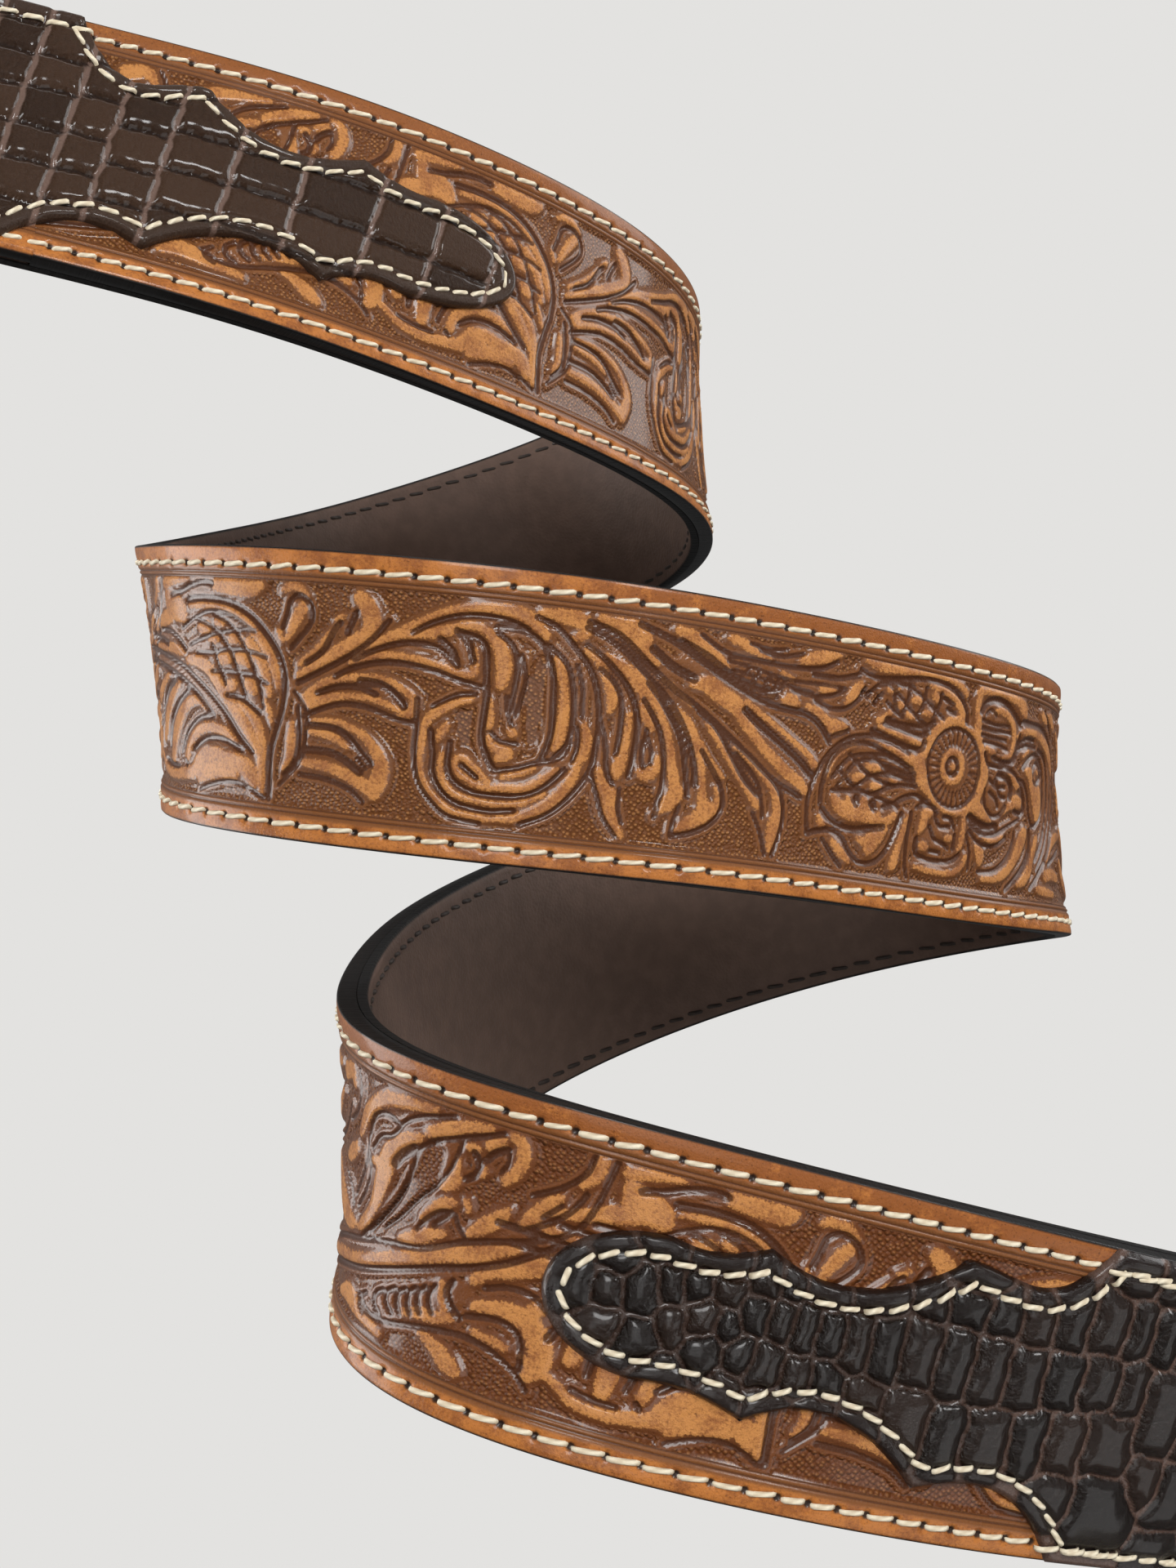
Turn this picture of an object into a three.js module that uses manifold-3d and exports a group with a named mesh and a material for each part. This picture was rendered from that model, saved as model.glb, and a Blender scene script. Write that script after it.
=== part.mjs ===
// A tooled leather belt with reptile-print overlays at both ends, hanging in a loose coil from its buckle.
// Millimetres, +Z up. The origin is the middle of the buckle's bar, and every station along the belt is
// measured from there. At a station the local axes run along the belt, across it and out of its front.
import * as THREE from 'three';
import { mergeVertices } from 'three/addons/utils/BufferGeometryUtils.js';
import Module from 'manifold-3d';

const wasm = await Module();
wasm.setup();

// Driving sizes of the belt
const BELT_WIDTH = 38;
const HALF_WIDTH = BELT_WIDTH / 2;
const TIP_STATION = 1092;
const STRAP_THICKNESS = 2.5;
const LINING_THICKNESS = 1.4;
const OVERLAY_THICKNESS = 1.1;
const GAP = 0.3;

// Levels measured out of the middle of the strap and its lining
const LINING_BACK = -(STRAP_THICKNESS + GAP + LINING_THICKNESS) / 2;
const LINING_FRONT = LINING_BACK + LINING_THICKNESS;
const STRAP_BACK = LINING_FRONT + GAP;
const STRAP_FRONT = STRAP_BACK + STRAP_THICKNESS;
const STRAP_MIDDLE = (STRAP_BACK + STRAP_FRONT) / 2;
const OVERLAY_BACK = STRAP_FRONT + GAP;
const OVERLAY_FRONT = OVERLAY_BACK + OVERLAY_THICKNESS;

// Strap face: a raised border round a tooled field that lies a little lower. The field begins at a share of
// the way out to the border, and in the narrow tip it keeps at least a share of the width.
const BORDER_WIDTH = 4.4;
const FIELD_DEPTH = 0.4;
const FIELD_SHARE = 0.96;
const NARROWEST_FIELD = 0.2;
const EDGE_BEVEL = 0.5;

// A bent strap curls outwards at its edges by this share of its bend
const EDGE_CURL = 0.18;

// Rounded tip, and the punched holes in front of it
const TIP_ROUNDING = 26;
const TIP_BLUNTNESS = 0.97;
const HOLE_DIAMETER = 4.5;
const HOLE_PITCH = 25.4;
const HOLE_COUNT = 5;
const HOLE_SIDES = 12;
const MIDDLE_HOLE_STATION = 965;
const CUTTER_LENGTH = 16;

// Buckle: a frame whose near side is the round bar, with a fixed prong across it
const BAR_RADIUS = 2.25;
const BUCKLE_HALF_WIDTH = 25;
const BUCKLE_REACH = 29;
const WINDOW_HALF_WIDTH = 20.3;
const WINDOW_REACH = 24;
const BUCKLE_CORNER = 6;
const WINDOW_CORNER = 2.5;
const BUCKLE_THICKNESS = 4;
const BUCKLE_BEVEL = 0.7;
const PRONG_WIDTH = 4;
const PRONG_LOOP_RADIUS = 3.9;
const PRONG_SLOT_WIDTH = 6.6;
const PRONG_SLOT_REACH = 8;
const PRONG_SLOT_LENGTH = 18;

// Fold of the strap round the bar, and the turned-back stretch behind it
const FOLD_RADIUS = BAR_RADIUS + GAP + STRAP_THICKNESS / 2;
const FOLD_TAPER = 14;
const FOLD_STEPS = 10;
const RETURN_END = 46;
const RETURN_MIDDLE = STRAP_BACK - GAP - STRAP_THICKNESS / 2;
const LINING_START = RETURN_END + 1;

// Lengths of the straight steps that the curved pieces are built from
const RUN_STEP = 2;
const SECTION_STEP = 7;
const SCALLOP_STEP = 2.4;
const NOSE_STEPS = [0.4, 1.2, 2.6, 4.6, 7.2];
const CLOSEST_STEPS = 0.05;

// The belt at the bar: its heading about Z, its dip and its lean, in degrees
const START_TURN = { heading: 25.73, dip: 8.06, lean: 71.37 };

// How the belt bends and twists from there, in degrees per 100 mm: one row for each 40 mm of the coil
const RUN = [
  { station: 0, bend: 0.9, twist: 1.2 },
  { station: 40, bend: -4.1, twist: -7.1 },
  { station: 80, bend: 32.0, twist: -24.8 },
  { station: 120, bend: 36.0, twist: -9.7 },
  { station: 160, bend: 72.8, twist: 25.2 },
  { station: 200, bend: 100.7, twist: 29.0 },
  { station: 240, bend: 148.5, twist: 36.2 },
  { station: 280, bend: 148.8, twist: 7.0 },
  { station: 320, bend: 48.2, twist: 15.4 },
  { station: 360, bend: 7.4, twist: 3.2 },
  { station: 400, bend: 109.5, twist: 40.2 },
  { station: 440, bend: 114.0, twist: 9.5 },
  { station: 480, bend: 72.4, twist: 18.2 },
  { station: 520, bend: 44.0, twist: -16.4 },
  { station: 560, bend: 95.6, twist: 33.7 },
  { station: 600, bend: 192.4, twist: 34.6 },
  { station: 640, bend: 117.0, twist: 12.3 },
  { station: 680, bend: 66.5, twist: 13.7 },
  { station: 720, bend: 57.0, twist: 4.3 },
  { station: 760, bend: 35.6, twist: 26.6 },
  { station: 800, bend: 188.8, twist: 45.5 },
  { station: 840, bend: 47.0, twist: -6.6 },
  { station: 880, bend: 22.3, twist: -24.9 },
  { station: 920, bend: 6.0, twist: -20.3 },
  { station: 960, bend: 30.0, twist: -5.0 },
  { station: 1000, bend: 45.0, twist: 20.0 },
  { station: 1092, bend: 50.0, twist: 10.0 },
];

// Scalloped outlines of the overlays. Each row is a corner: its distance back from the nose, its distance
// from the belt's middle line, how far the edge is hollowed between it and the next corner, and how much
// deeper that hollow is towards the next corner. The first row ends the rounded nose, and the last one is
// where the edge reaches the belt's own edge.
const BUCKLE_END_OVERLAY = {
  nose: 118.5,
  towards: -1,
  end: 16,
  upper: [
    { back: 16.0, out: 7.7, hollow: 0.8, lean: 0 },
    { back: 27.3, out: 9.6, hollow: 4.1, lean: 0.3 },
    { back: 49.9, out: 12.7, hollow: 4.9, lean: 0.9 },
    { back: 67.8, out: HALF_WIDTH, hollow: 0, lean: 0 },
  ],
  lower: [
    { back: 20.0, out: 7.8, hollow: 1.3, lean: 0 },
    { back: 32.2, out: 10.3, hollow: 4.1, lean: -0.1 },
    { back: 57.6, out: 13.6, hollow: 3.9, lean: 0 },
    { back: 77.5, out: HALF_WIDTH, hollow: 0, lean: 0 },
  ],
};
const TIP_END_OVERLAY = {
  nose: 819.3,
  towards: 1,
  end: TIP_STATION,
  upper: [
    { back: 12.5, out: 8.1, hollow: 1.1, lean: 0 },
    { back: 23.1, out: 9.6, hollow: 3.9, lean: 0 },
    { back: 45.0, out: 13.6, hollow: 3.8, lean: 0.7 },
    { back: 61.3, out: HALF_WIDTH, hollow: 0, lean: 0 },
  ],
  lower: [
    { back: 11.5, out: 8.1, hollow: 1.0, lean: 0 },
    { back: 24.2, out: 9.6, hollow: 4.3, lean: -0.1 },
    { back: 45.3, out: 12.9, hollow: 4.5, lean: 0.3 },
    { back: 64.7, out: HALF_WIDTH, hollow: 0, lean: 0 },
  ],
};

const TAN_LEATHER = new THREE.MeshStandardMaterial({ color: 0xa2653a, roughness: 0.55, metalness: 0 });
const DARK_LINING = new THREE.MeshStandardMaterial({ color: 0x2e2523, roughness: 0.7, metalness: 0 });
const BROWN_REPTILE = new THREE.MeshStandardMaterial({ color: 0x352822, roughness: 0.5, metalness: 0 });
const BLACK_REPTILE = new THREE.MeshStandardMaterial({ color: 0x1d1716, roughness: 0.35, metalness: 0 });
const STEEL = new THREE.MeshStandardMaterial({ color: 0xb4b1aa, roughness: 0.35, metalness: 1 });

const radians = THREE.MathUtils.degToRad;

// A column of a table at any station, on a smooth curve through its rows
function columnAt(rows, column, station) {
  const last = rows.length - 1;
  const slope = (row) => {
    const before = rows[Math.max(row - 1, 0)];
    const after = rows[Math.min(row + 1, last)];
    return (after[column] - before[column]) / (after.station - before.station);
  };
  let row = 0;
  while (row < last - 1 && station >= rows[row + 1].station) row += 1;
  const length = rows[row + 1].station - rows[row].station;
  const u = (station - rows[row].station) / length;
  return (2 * u ** 3 - 3 * u ** 2 + 1) * rows[row][column]
    + (u ** 3 - 2 * u ** 2 + u) * length * slope(row)
    + (3 * u ** 2 - 2 * u ** 3) * rows[row + 1][column]
    + (u ** 3 - u ** 2) * length * slope(row + 1);
}

// The turn of the local axes over a short length, from the bend and twist at its middle
function turnOver(length, bend, twist) {
  const turn = new THREE.Vector3(-radians(twist), radians(bend), 0).multiplyScalar(length / 100);
  const angle = turn.length();
  return new THREE.Quaternion().setFromAxisAngle(turn.normalize(), angle);
}

// The place and the local axes of the belt at each step from the bar to the tip
function layRun() {
  const { heading, dip, lean } = START_TURN;
  const start = new THREE.Euler(radians(lean), radians(dip), radians(heading), 'ZYX');
  const frames = [{ place: new THREE.Vector3(), turn: new THREE.Quaternion().setFromEuler(start) }];
  for (let station = 0; station < TIP_STATION; station += RUN_STEP) {
    const bend = columnAt(RUN, 'bend', station + RUN_STEP / 2);
    const twist = columnAt(RUN, 'twist', station + RUN_STEP / 2);
    const { place, turn } = frames.at(-1);
    const halfway = turn.clone().multiply(turnOver(RUN_STEP / 2, bend, twist));
    const stride = new THREE.Vector3(RUN_STEP, 0, 0).applyQuaternion(halfway);
    frames.push({
      place: place.clone().add(stride),
      turn: turn.clone().multiply(turnOver(RUN_STEP, bend, twist)),
    });
  }
  return frames;
}

const run = layRun();

function frameAt(station) {
  const index = Math.min(Math.floor(station / RUN_STEP), run.length - 2);
  const u = station / RUN_STEP - index;
  return {
    place: run[index].place.clone().lerp(run[index + 1].place, u),
    turn: run[index].turn.clone().slerp(run[index + 1].turn, u),
  };
}

// A point beside a station: along the belt, across it, and out of its front
function pointBeside(frame, along, across, out) {
  return new THREE.Vector3(along, across, out).applyQuaternion(frame.turn).add(frame.place);
}

// How far the belt's edges curl outwards, at a distance from its middle line
function curlAt(station, across) {
  return EDGE_CURL * radians(columnAt(RUN, 'bend', station)) / 100 * across ** 2 / 2;
}

// Half the belt's width, which narrows in a rounded tip
function halfWidthAt(station) {
  const u = Math.max(station - (TIP_STATION - TIP_ROUNDING), 0) / TIP_ROUNDING;
  return HALF_WIDTH * Math.sqrt(1 - (TIP_BLUNTNESS * u) ** 2);
}

// Stations from one to another, in equal steps of about the given length
function stationsBetween(from, to, step) {
  const count = Math.max(Math.ceil((to - from) / step), 1);
  return Array.from({ length: count + 1 }, (_, index) => from + (to - from) * index / count);
}

// The stations that every layer of the belt shares, from a given one to the tip
function layerStations(from) {
  const narrowing = TIP_STATION - TIP_ROUNDING;
  const count = Math.ceil(narrowing / SECTION_STEP);
  const shared = Array.from({ length: count }, (_, index) => index * SECTION_STEP);
  const tip = stationsBetween(narrowing, TIP_STATION, SECTION_STEP / 2);
  return [from, ...shared.filter((station) => station > from), ...tip];
}

// A closed solid through rings of points. Each ring is { points, outline }: the points in space, and the
// same points in the plane of the section, which the two end faces are cut from. Every face is split along
// the same diagonal of the belt, so that layers that follow the same twist lie evenly on each other.
function loft(rings) {
  const size = rings[0].points.length;
  const positions = rings.flatMap((ring) => ring.points.flatMap((point) => point.toArray()));
  const faces = [];
  const [{ outline }] = rings;
  for (let ring = 0; ring + 1 < rings.length; ring += 1) {
    for (let corner = 0; corner < size; corner += 1) {
      const next = (corner + 1) % size;
      const a = ring * size + corner;
      const b = ring * size + next;
      if (outline[next].x >= outline[corner].x) {
        faces.push([a, b, b + size], [a, b + size, a + size]);
      } else {
        faces.push([a, b, a + size], [b, b + size, a + size]);
      }
    }
  }
  const endFace = (ring) => THREE.ShapeUtils.triangulateShape(rings[ring].outline, [])
    .map((face) => face.map((corner) => ring * size + corner));
  faces.push(...endFace(0).map(([a, b, c]) => [a, c, b]), ...endFace(rings.length - 1));
  const geometry = new THREE.BufferGeometry();
  geometry.setAttribute('position', new THREE.Float32BufferAttribute(positions, 3));
  geometry.setIndex(faces.flat());
  return geometry;
}

function toSolid(geometry) {
  const bare = geometry.clone();
  bare.deleteAttribute('normal');
  bare.deleteAttribute('uv');
  const merged = mergeVertices(bare, 1e-3);
  const vertProperties = new Float32Array(merged.attributes.position.array);
  const triVerts = new Uint32Array(merged.index.array);
  return new wasm.Manifold(new wasm.Mesh({ numProp: 3, vertProperties, triVerts }));
}

function toGeometry(solid) {
  const mesh = solid.getMesh();
  const geometry = new THREE.BufferGeometry();
  geometry.setAttribute('position', new THREE.BufferAttribute(new Float32Array(mesh.vertProperties), 3));
  geometry.setIndex(new THREE.BufferAttribute(new Uint32Array(mesh.triVerts), 1));
  return geometry;
}

function namedMesh(name, geometry, material) {
  geometry.computeVertexNormals();
  const mesh = new THREE.Mesh(geometry, material);
  mesh.name = name;
  return mesh;
}

// The punched holes, as cylinders that pass through every layer
function holeCutters() {
  const first = MIDDLE_HOLE_STATION - HOLE_PITCH * (HOLE_COUNT - 1) / 2;
  return Array.from({ length: HOLE_COUNT }, (_, index) => {
    const frame = frameAt(first + HOLE_PITCH * index);
    const radius = HOLE_DIAMETER / 2;
    const cutter = new THREE.CylinderGeometry(radius, radius, CUTTER_LENGTH, HOLE_SIDES);
    cutter.rotateX(Math.PI / 2).applyQuaternion(frame.turn).translate(...frame.place.toArray());
    return toSolid(cutter);
  });
}

function withHoles(solid) {
  return holeCutters().reduce((cut, hole) => cut.subtract(hole), solid);
}

// The strap's section, counted out from its own middle surface
function strapOutline(half) {
  const face = STRAP_THICKNESS / 2;
  const border = Math.max(half - BORDER_WIDTH, half * NARROWEST_FIELD);
  const field = border * FIELD_SHARE;
  return [
    [-half, -face], [0, -face], [half, -face], [half, face - EDGE_BEVEL], [half - EDGE_BEVEL, face],
    [border, face], [field, face - FIELD_DEPTH], [0, face - FIELD_DEPTH], [-field, face - FIELD_DEPTH],
    [-border, face], [EDGE_BEVEL - half, face], [-half, face - EDGE_BEVEL],
  ].map(([across, out]) => new THREE.Vector2(across, out));
}

// A smooth passage from 0 to 1
function ease(u) {
  return (1 - Math.cos(Math.PI * u)) / 2;
}

// One ring of the strap: its middle surface lies `offset` out from the run and slopes by `slope`
function strapRing(station, offset, slope, half, reversed) {
  const frame = frameAt(station);
  const sign = reversed ? -1 : 1;
  const tilt = new THREE.Vector3(-Math.sin(slope), 0, Math.cos(slope)).multiplyScalar(sign);
  const outline = strapOutline(half);
  const points = outline.map(({ x: across, y: out }) => {
    const level = offset + sign * curlAt(station, across);
    return pointBeside(frame, tilt.x * out, across, level + tilt.z * out);
  });
  return { points, outline };
}

// The strap's middle surface where it leaves the fold: from the fold's radius down to its own level
function taperedRing(station, level, reversed) {
  const swell = (reversed ? -1 : 1) * FOLD_RADIUS - level;
  const phase = Math.min(station / FOLD_TAPER, 1);
  const offset = level + swell * (1 - ease(phase));
  const slope = Math.atan(-swell * Math.PI / (2 * FOLD_TAPER) * Math.sin(Math.PI * phase));
  return strapRing(station, offset, slope, halfWidthAt(station), reversed);
}

// The half turn round the bar, from behind it to its front
function foldRings() {
  const frame = frameAt(0);
  return Array.from({ length: FOLD_STEPS - 1 }, (_, index) => {
    const angle = Math.PI * (1 - (index + 1) / FOLD_STEPS);
    const outline = strapOutline(HALF_WIDTH);
    const points = outline.map(({ x: across, y: out }) => {
      const radius = FOLD_RADIUS + out;
      return pointBeside(frame, -radius * Math.sin(angle), across, radius * Math.cos(angle));
    });
    return { points, outline };
  });
}

function tooledStrap() {
  const folded = stationsBetween(0, FOLD_TAPER, RUN_STEP);
  const straight = stationsBetween(FOLD_TAPER, RETURN_END, SECTION_STEP).slice(1);
  const coiled = layerStations(FOLD_TAPER).slice(1);
  const turnedBack = [...folded, ...straight].reverse();
  const rings = [
    ...turnedBack.map((station) => taperedRing(station, RETURN_MIDDLE, true)),
    ...foldRings(),
    ...[...folded, ...coiled].map((station) => taperedRing(station, STRAP_MIDDLE, false)),
  ];
  const slot = new THREE.BoxGeometry(PRONG_SLOT_LENGTH, PRONG_SLOT_WIDTH, 4 * FOLD_RADIUS);
  slot.translate(PRONG_SLOT_LENGTH / 2 - PRONG_SLOT_REACH, 0, 0).applyQuaternion(frameAt(0).turn);
  const slotted = toSolid(loft(rings)).subtract(toSolid(slot));
  return namedMesh('tooled_strap', toGeometry(withHoles(slotted)), TAN_LEATHER);
}

// A layer on the belt at a station, from one edge to the other and from its back to its front level
function layerRing(station, [lower, upper], [back, front], bevel = 0) {
  const frame = frameAt(station);
  const middle = (lower + upper) / 2;
  const upperEdge = bevel ? [[upper, front - bevel], [upper - bevel, front]] : [[upper, front]];
  const lowerEdge = bevel ? [[lower + bevel, front], [lower, front - bevel]] : [[lower, front]];
  const outline = [[lower, back], [middle, back], [upper, back], ...upperEdge, [middle, front], ...lowerEdge]
    .map(([across, out]) => new THREE.Vector2(across, out));
  const points = outline.map(({ x: across, y: out }) => (
    pointBeside(frame, 0, across, out + curlAt(station, across))
  ));
  return { points, outline };
}

function lining() {
  const rings = layerStations(LINING_START).map((station) => {
    const half = halfWidthAt(station);
    return layerRing(station, [-half, half], [LINING_BACK, LINING_FRONT]);
  });
  return namedMesh('lining', toGeometry(withHoles(toSolid(loft(rings)))), DARK_LINING);
}

// How far out an overlay's edge is, at a distance back from its nose: an ellipse round the nose, then a
// hollow between each two corners
function overlayEdge(corners, back) {
  const [first] = corners;
  if (back <= first.back) return first.out * Math.sqrt(1 - (1 - back / first.back) ** 2);
  const next = corners.findIndex((corner) => corner.back >= back);
  if (next < 0) return HALF_WIDTH;
  const from = corners[next - 1];
  const to = corners[next];
  const u = (back - from.back) / (to.back - from.back);
  const hollow = 4 * from.hollow * u * (1 - u) * (1 + from.lean * (2 * u - 1));
  return from.out + (to.out - from.out) * u - hollow;
}

// Distances back from an overlay's nose: close steps round the nose, one at every corner of its outline,
// then long ones, and close ones again where the belt narrows in its tip
function overlaySteps(shape) {
  const length = Math.abs(shape.end - shape.nose);
  const narrows = Math.abs(Math.min(shape.end, TIP_STATION - TIP_ROUNDING) - shape.nose);
  const nose = NOSE_STEPS.at(-1);
  const corners = [...shape.upper, ...shape.lower].map((corner) => corner.back).sort((a, b) => a - b);
  const starts = [nose, ...corners.slice(0, -1)];
  return [
    ...NOSE_STEPS,
    ...corners.flatMap((corner, index) => stationsBetween(starts[index], corner, SCALLOP_STEP).slice(1)),
    ...stationsBetween(corners.at(-1), narrows, SECTION_STEP).slice(1),
    ...stationsBetween(narrows, length, SECTION_STEP / 2).slice(1),
  ].filter((step, index, steps) => index === 0 || step - steps[index - 1] > CLOSEST_STEPS);
}

function overlay(name, shape, material) {
  const rings = overlaySteps(shape).map((back) => {
    const station = shape.nose + shape.towards * back;
    const half = halfWidthAt(station);
    const lower = -Math.min(overlayEdge(shape.lower, back), half);
    const upper = Math.min(overlayEdge(shape.upper, back), half);
    return layerRing(station, [lower, upper], [OVERLAY_BACK, OVERLAY_FRONT], EDGE_BEVEL);
  });
  if (shape.towards < 0) rings.reverse();
  return namedMesh(name, toGeometry(withHoles(toSolid(loft(rings)))), material);
}

function roundedRectangle(Path, left, right, half, corner) {
  const path = new Path();
  path.moveTo(left + corner, -half);
  path.lineTo(right - corner, -half);
  path.absarc(right - corner, corner - half, corner, -Math.PI / 2, 0);
  path.lineTo(right, half - corner);
  path.absarc(right - corner, half - corner, corner, 0, Math.PI / 2);
  path.lineTo(left + corner, half);
  path.absarc(left + corner, half - corner, corner, Math.PI / 2, Math.PI);
  path.lineTo(left, corner - half);
  path.absarc(left + corner, corner - half, corner, Math.PI, 1.5 * Math.PI);
  return path;
}

// The frame lies round the bar: its sides reach past the bar, and its window opens away from the strap
function buckleFrame() {
  const shape = roundedRectangle(THREE.Shape, -BUCKLE_REACH, BAR_RADIUS, BUCKLE_HALF_WIDTH, BUCKLE_CORNER);
  const reach = 2 * BUCKLE_REACH;
  const window = roundedRectangle(THREE.Path, -WINDOW_REACH, reach, WINDOW_HALF_WIDTH, WINDOW_CORNER);
  const depth = BUCKLE_THICKNESS - 2 * BUCKLE_BEVEL;
  const bevel = { bevelThickness: BUCKLE_BEVEL, bevelSize: BUCKLE_BEVEL, bevelOffset: -BUCKLE_BEVEL };
  const outer = new THREE.ExtrudeGeometry(shape, { depth, bevelSegments: 2, curveSegments: 5, ...bevel });
  const opening = new THREE.Shape(window.getPoints(4));
  const inner = new THREE.ExtrudeGeometry(opening, { depth: 3 * BUCKLE_THICKNESS, bevelEnabled: false });
  outer.translate(0, 0, -depth / 2);
  inner.translate(0, 0, -1.5 * BUCKLE_THICKNESS);
  return toSolid(outer).subtract(toSolid(inner));
}

function buckleBar() {
  const length = 2 * BUCKLE_HALF_WIDTH - BUCKLE_THICKNESS;
  return toSolid(new THREE.CylinderGeometry(BAR_RADIUS, BAR_RADIUS, length, 16));
}

// The prong arches from the bar over the far side of the frame, seen here from the side
function buckleProng() {
  const rest = BUCKLE_THICKNESS / 2 - GAP;
  const side = new THREE.Shape([
    [1.5, 3.5], [-10, 4.6], [-22, 4.9], [-28, 4.4], [-30.4, 3.2], [-30.4, rest + 0.4], [-29.4, rest],
    [-23, rest], [-18, 2.3], [-8, 1.9], [0, -1],
  ].map(([along, out]) => new THREE.Vector2(along, out)));
  const arm = new THREE.ExtrudeGeometry(side, { depth: PRONG_WIDTH, bevelEnabled: false });
  arm.rotateX(Math.PI / 2).translate(0, PRONG_WIDTH / 2, 0);
  const loop = new THREE.CylinderGeometry(PRONG_LOOP_RADIUS, PRONG_LOOP_RADIUS, PRONG_WIDTH, 20);
  return toSolid(arm).add(toSolid(loop));
}

function buckle() {
  const mesh = namedMesh('buckle', toGeometry(buckleFrame().add(buckleBar()).add(buckleProng())), STEEL);
  mesh.quaternion.copy(frameAt(0).turn);
  return mesh;
}

const belt = new THREE.Group();
belt.add(
  tooledStrap(),
  lining(),
  overlay('buckle_end_overlay', BUCKLE_END_OVERLAY, BROWN_REPTILE),
  overlay('tip_end_overlay', TIP_END_OVERLAY, BLACK_REPTILE),
  buckle(),
);

export default belt;
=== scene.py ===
"""A tooled leather belt with reptile-print ends, hanging in a loose coil from its buckle.

The belt follows one run of stations, counted in millimetres from the buckle's bar. A point of any piece
is given by its station, its distance across the belt and its level out of the belt's middle, and BeltRun
carries it into space. Every length is in millimetres until a mesh is made.
"""
import logging
import math
from dataclasses import astuple, dataclass
from enum import Enum
from typing import Iterable, Sequence

import bpy
import numpy as np
from mathutils import Euler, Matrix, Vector


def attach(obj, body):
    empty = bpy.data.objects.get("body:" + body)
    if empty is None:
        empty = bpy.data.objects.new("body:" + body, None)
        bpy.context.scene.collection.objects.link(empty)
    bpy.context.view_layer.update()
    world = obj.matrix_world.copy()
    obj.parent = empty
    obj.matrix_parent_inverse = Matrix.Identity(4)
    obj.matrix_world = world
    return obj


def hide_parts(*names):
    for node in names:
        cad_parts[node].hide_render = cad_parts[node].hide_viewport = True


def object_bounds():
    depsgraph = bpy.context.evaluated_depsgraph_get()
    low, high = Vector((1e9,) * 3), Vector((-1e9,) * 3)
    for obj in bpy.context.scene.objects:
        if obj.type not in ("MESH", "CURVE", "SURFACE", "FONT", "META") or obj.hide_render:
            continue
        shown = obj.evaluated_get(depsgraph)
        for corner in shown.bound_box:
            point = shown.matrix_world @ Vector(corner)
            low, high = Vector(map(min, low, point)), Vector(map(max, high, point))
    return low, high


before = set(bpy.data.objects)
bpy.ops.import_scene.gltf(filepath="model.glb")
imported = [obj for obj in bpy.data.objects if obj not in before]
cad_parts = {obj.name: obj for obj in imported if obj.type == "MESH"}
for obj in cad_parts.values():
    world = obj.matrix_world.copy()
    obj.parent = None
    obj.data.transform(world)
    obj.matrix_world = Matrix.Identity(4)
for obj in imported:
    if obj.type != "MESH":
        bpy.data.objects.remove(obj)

Array = np.ndarray
Material = bpy.types.Material
Colour = Numbers = tuple[float, ...]
Strokes = list[list[Numbers]]
LOG = logging.getLogger("belt")
CAD_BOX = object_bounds()
MILLIMETRE = 0.001
BODY = "root"

# Driving sizes of the belt, as in the frame's solids
HALF_WIDTH = 19.0
TIP_STATION = 1092.0
TIP_ROUNDING = 26.0
TIP_BLUNTNESS = 0.97
LINING_BACK = -2.1
SEAM_LEVEL = -0.55
STRAP_FRONT = 2.1
OVERLAY_FRONT = 3.4
FIELD_HALF = 14.6
STITCH_ROW = 16.7
STITCH_SHIFT = -0.2
EDGE_CURL = 0.18
HOLE_RADIUS = 2.25
FOLD_LENGTH = 47.0
TURNED_BACK = 40.0
HOLE_STATIONS = tuple(965 + 25.4 * step for step in (-2, -1, 0, 1, 2))
# Round a hole, a block of this many of the grid's cells to each side is drawn to its circle
BLOCK_CELLS, HOLE_CELLS = 8, 3
# A distance in mm that stands for nowhere near
FAR = 9.0

# The coil: station, bend and twist in degrees per 100 mm
RUN = (
    (0, 0.9, 1.2), (40, -4.1, -7.1), (80, 32.0, -24.8), (120, 36.0, -9.7), (160, 72.8, 25.2),
    (200, 100.7, 29.0), (240, 148.5, 36.2), (280, 148.8, 7.0), (320, 48.2, 15.4), (360, 7.4, 3.2),
    (400, 109.5, 40.2), (440, 114.0, 9.5), (480, 72.4, 18.2), (520, 44.0, -16.4), (560, 95.6, 33.7),
    (600, 192.4, 34.6), (640, 117.0, 12.3), (680, 66.5, 13.7), (720, 57.0, 4.3), (760, 35.6, 26.6),
    (800, 188.8, 45.5), (840, 47.0, -6.6), (880, 22.3, -24.9), (920, 6.0, -20.3), (960, 30.0, -5.0),
    (1000, 45.0, 20.0), (1092, 50.0, 10.0),
)

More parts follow.
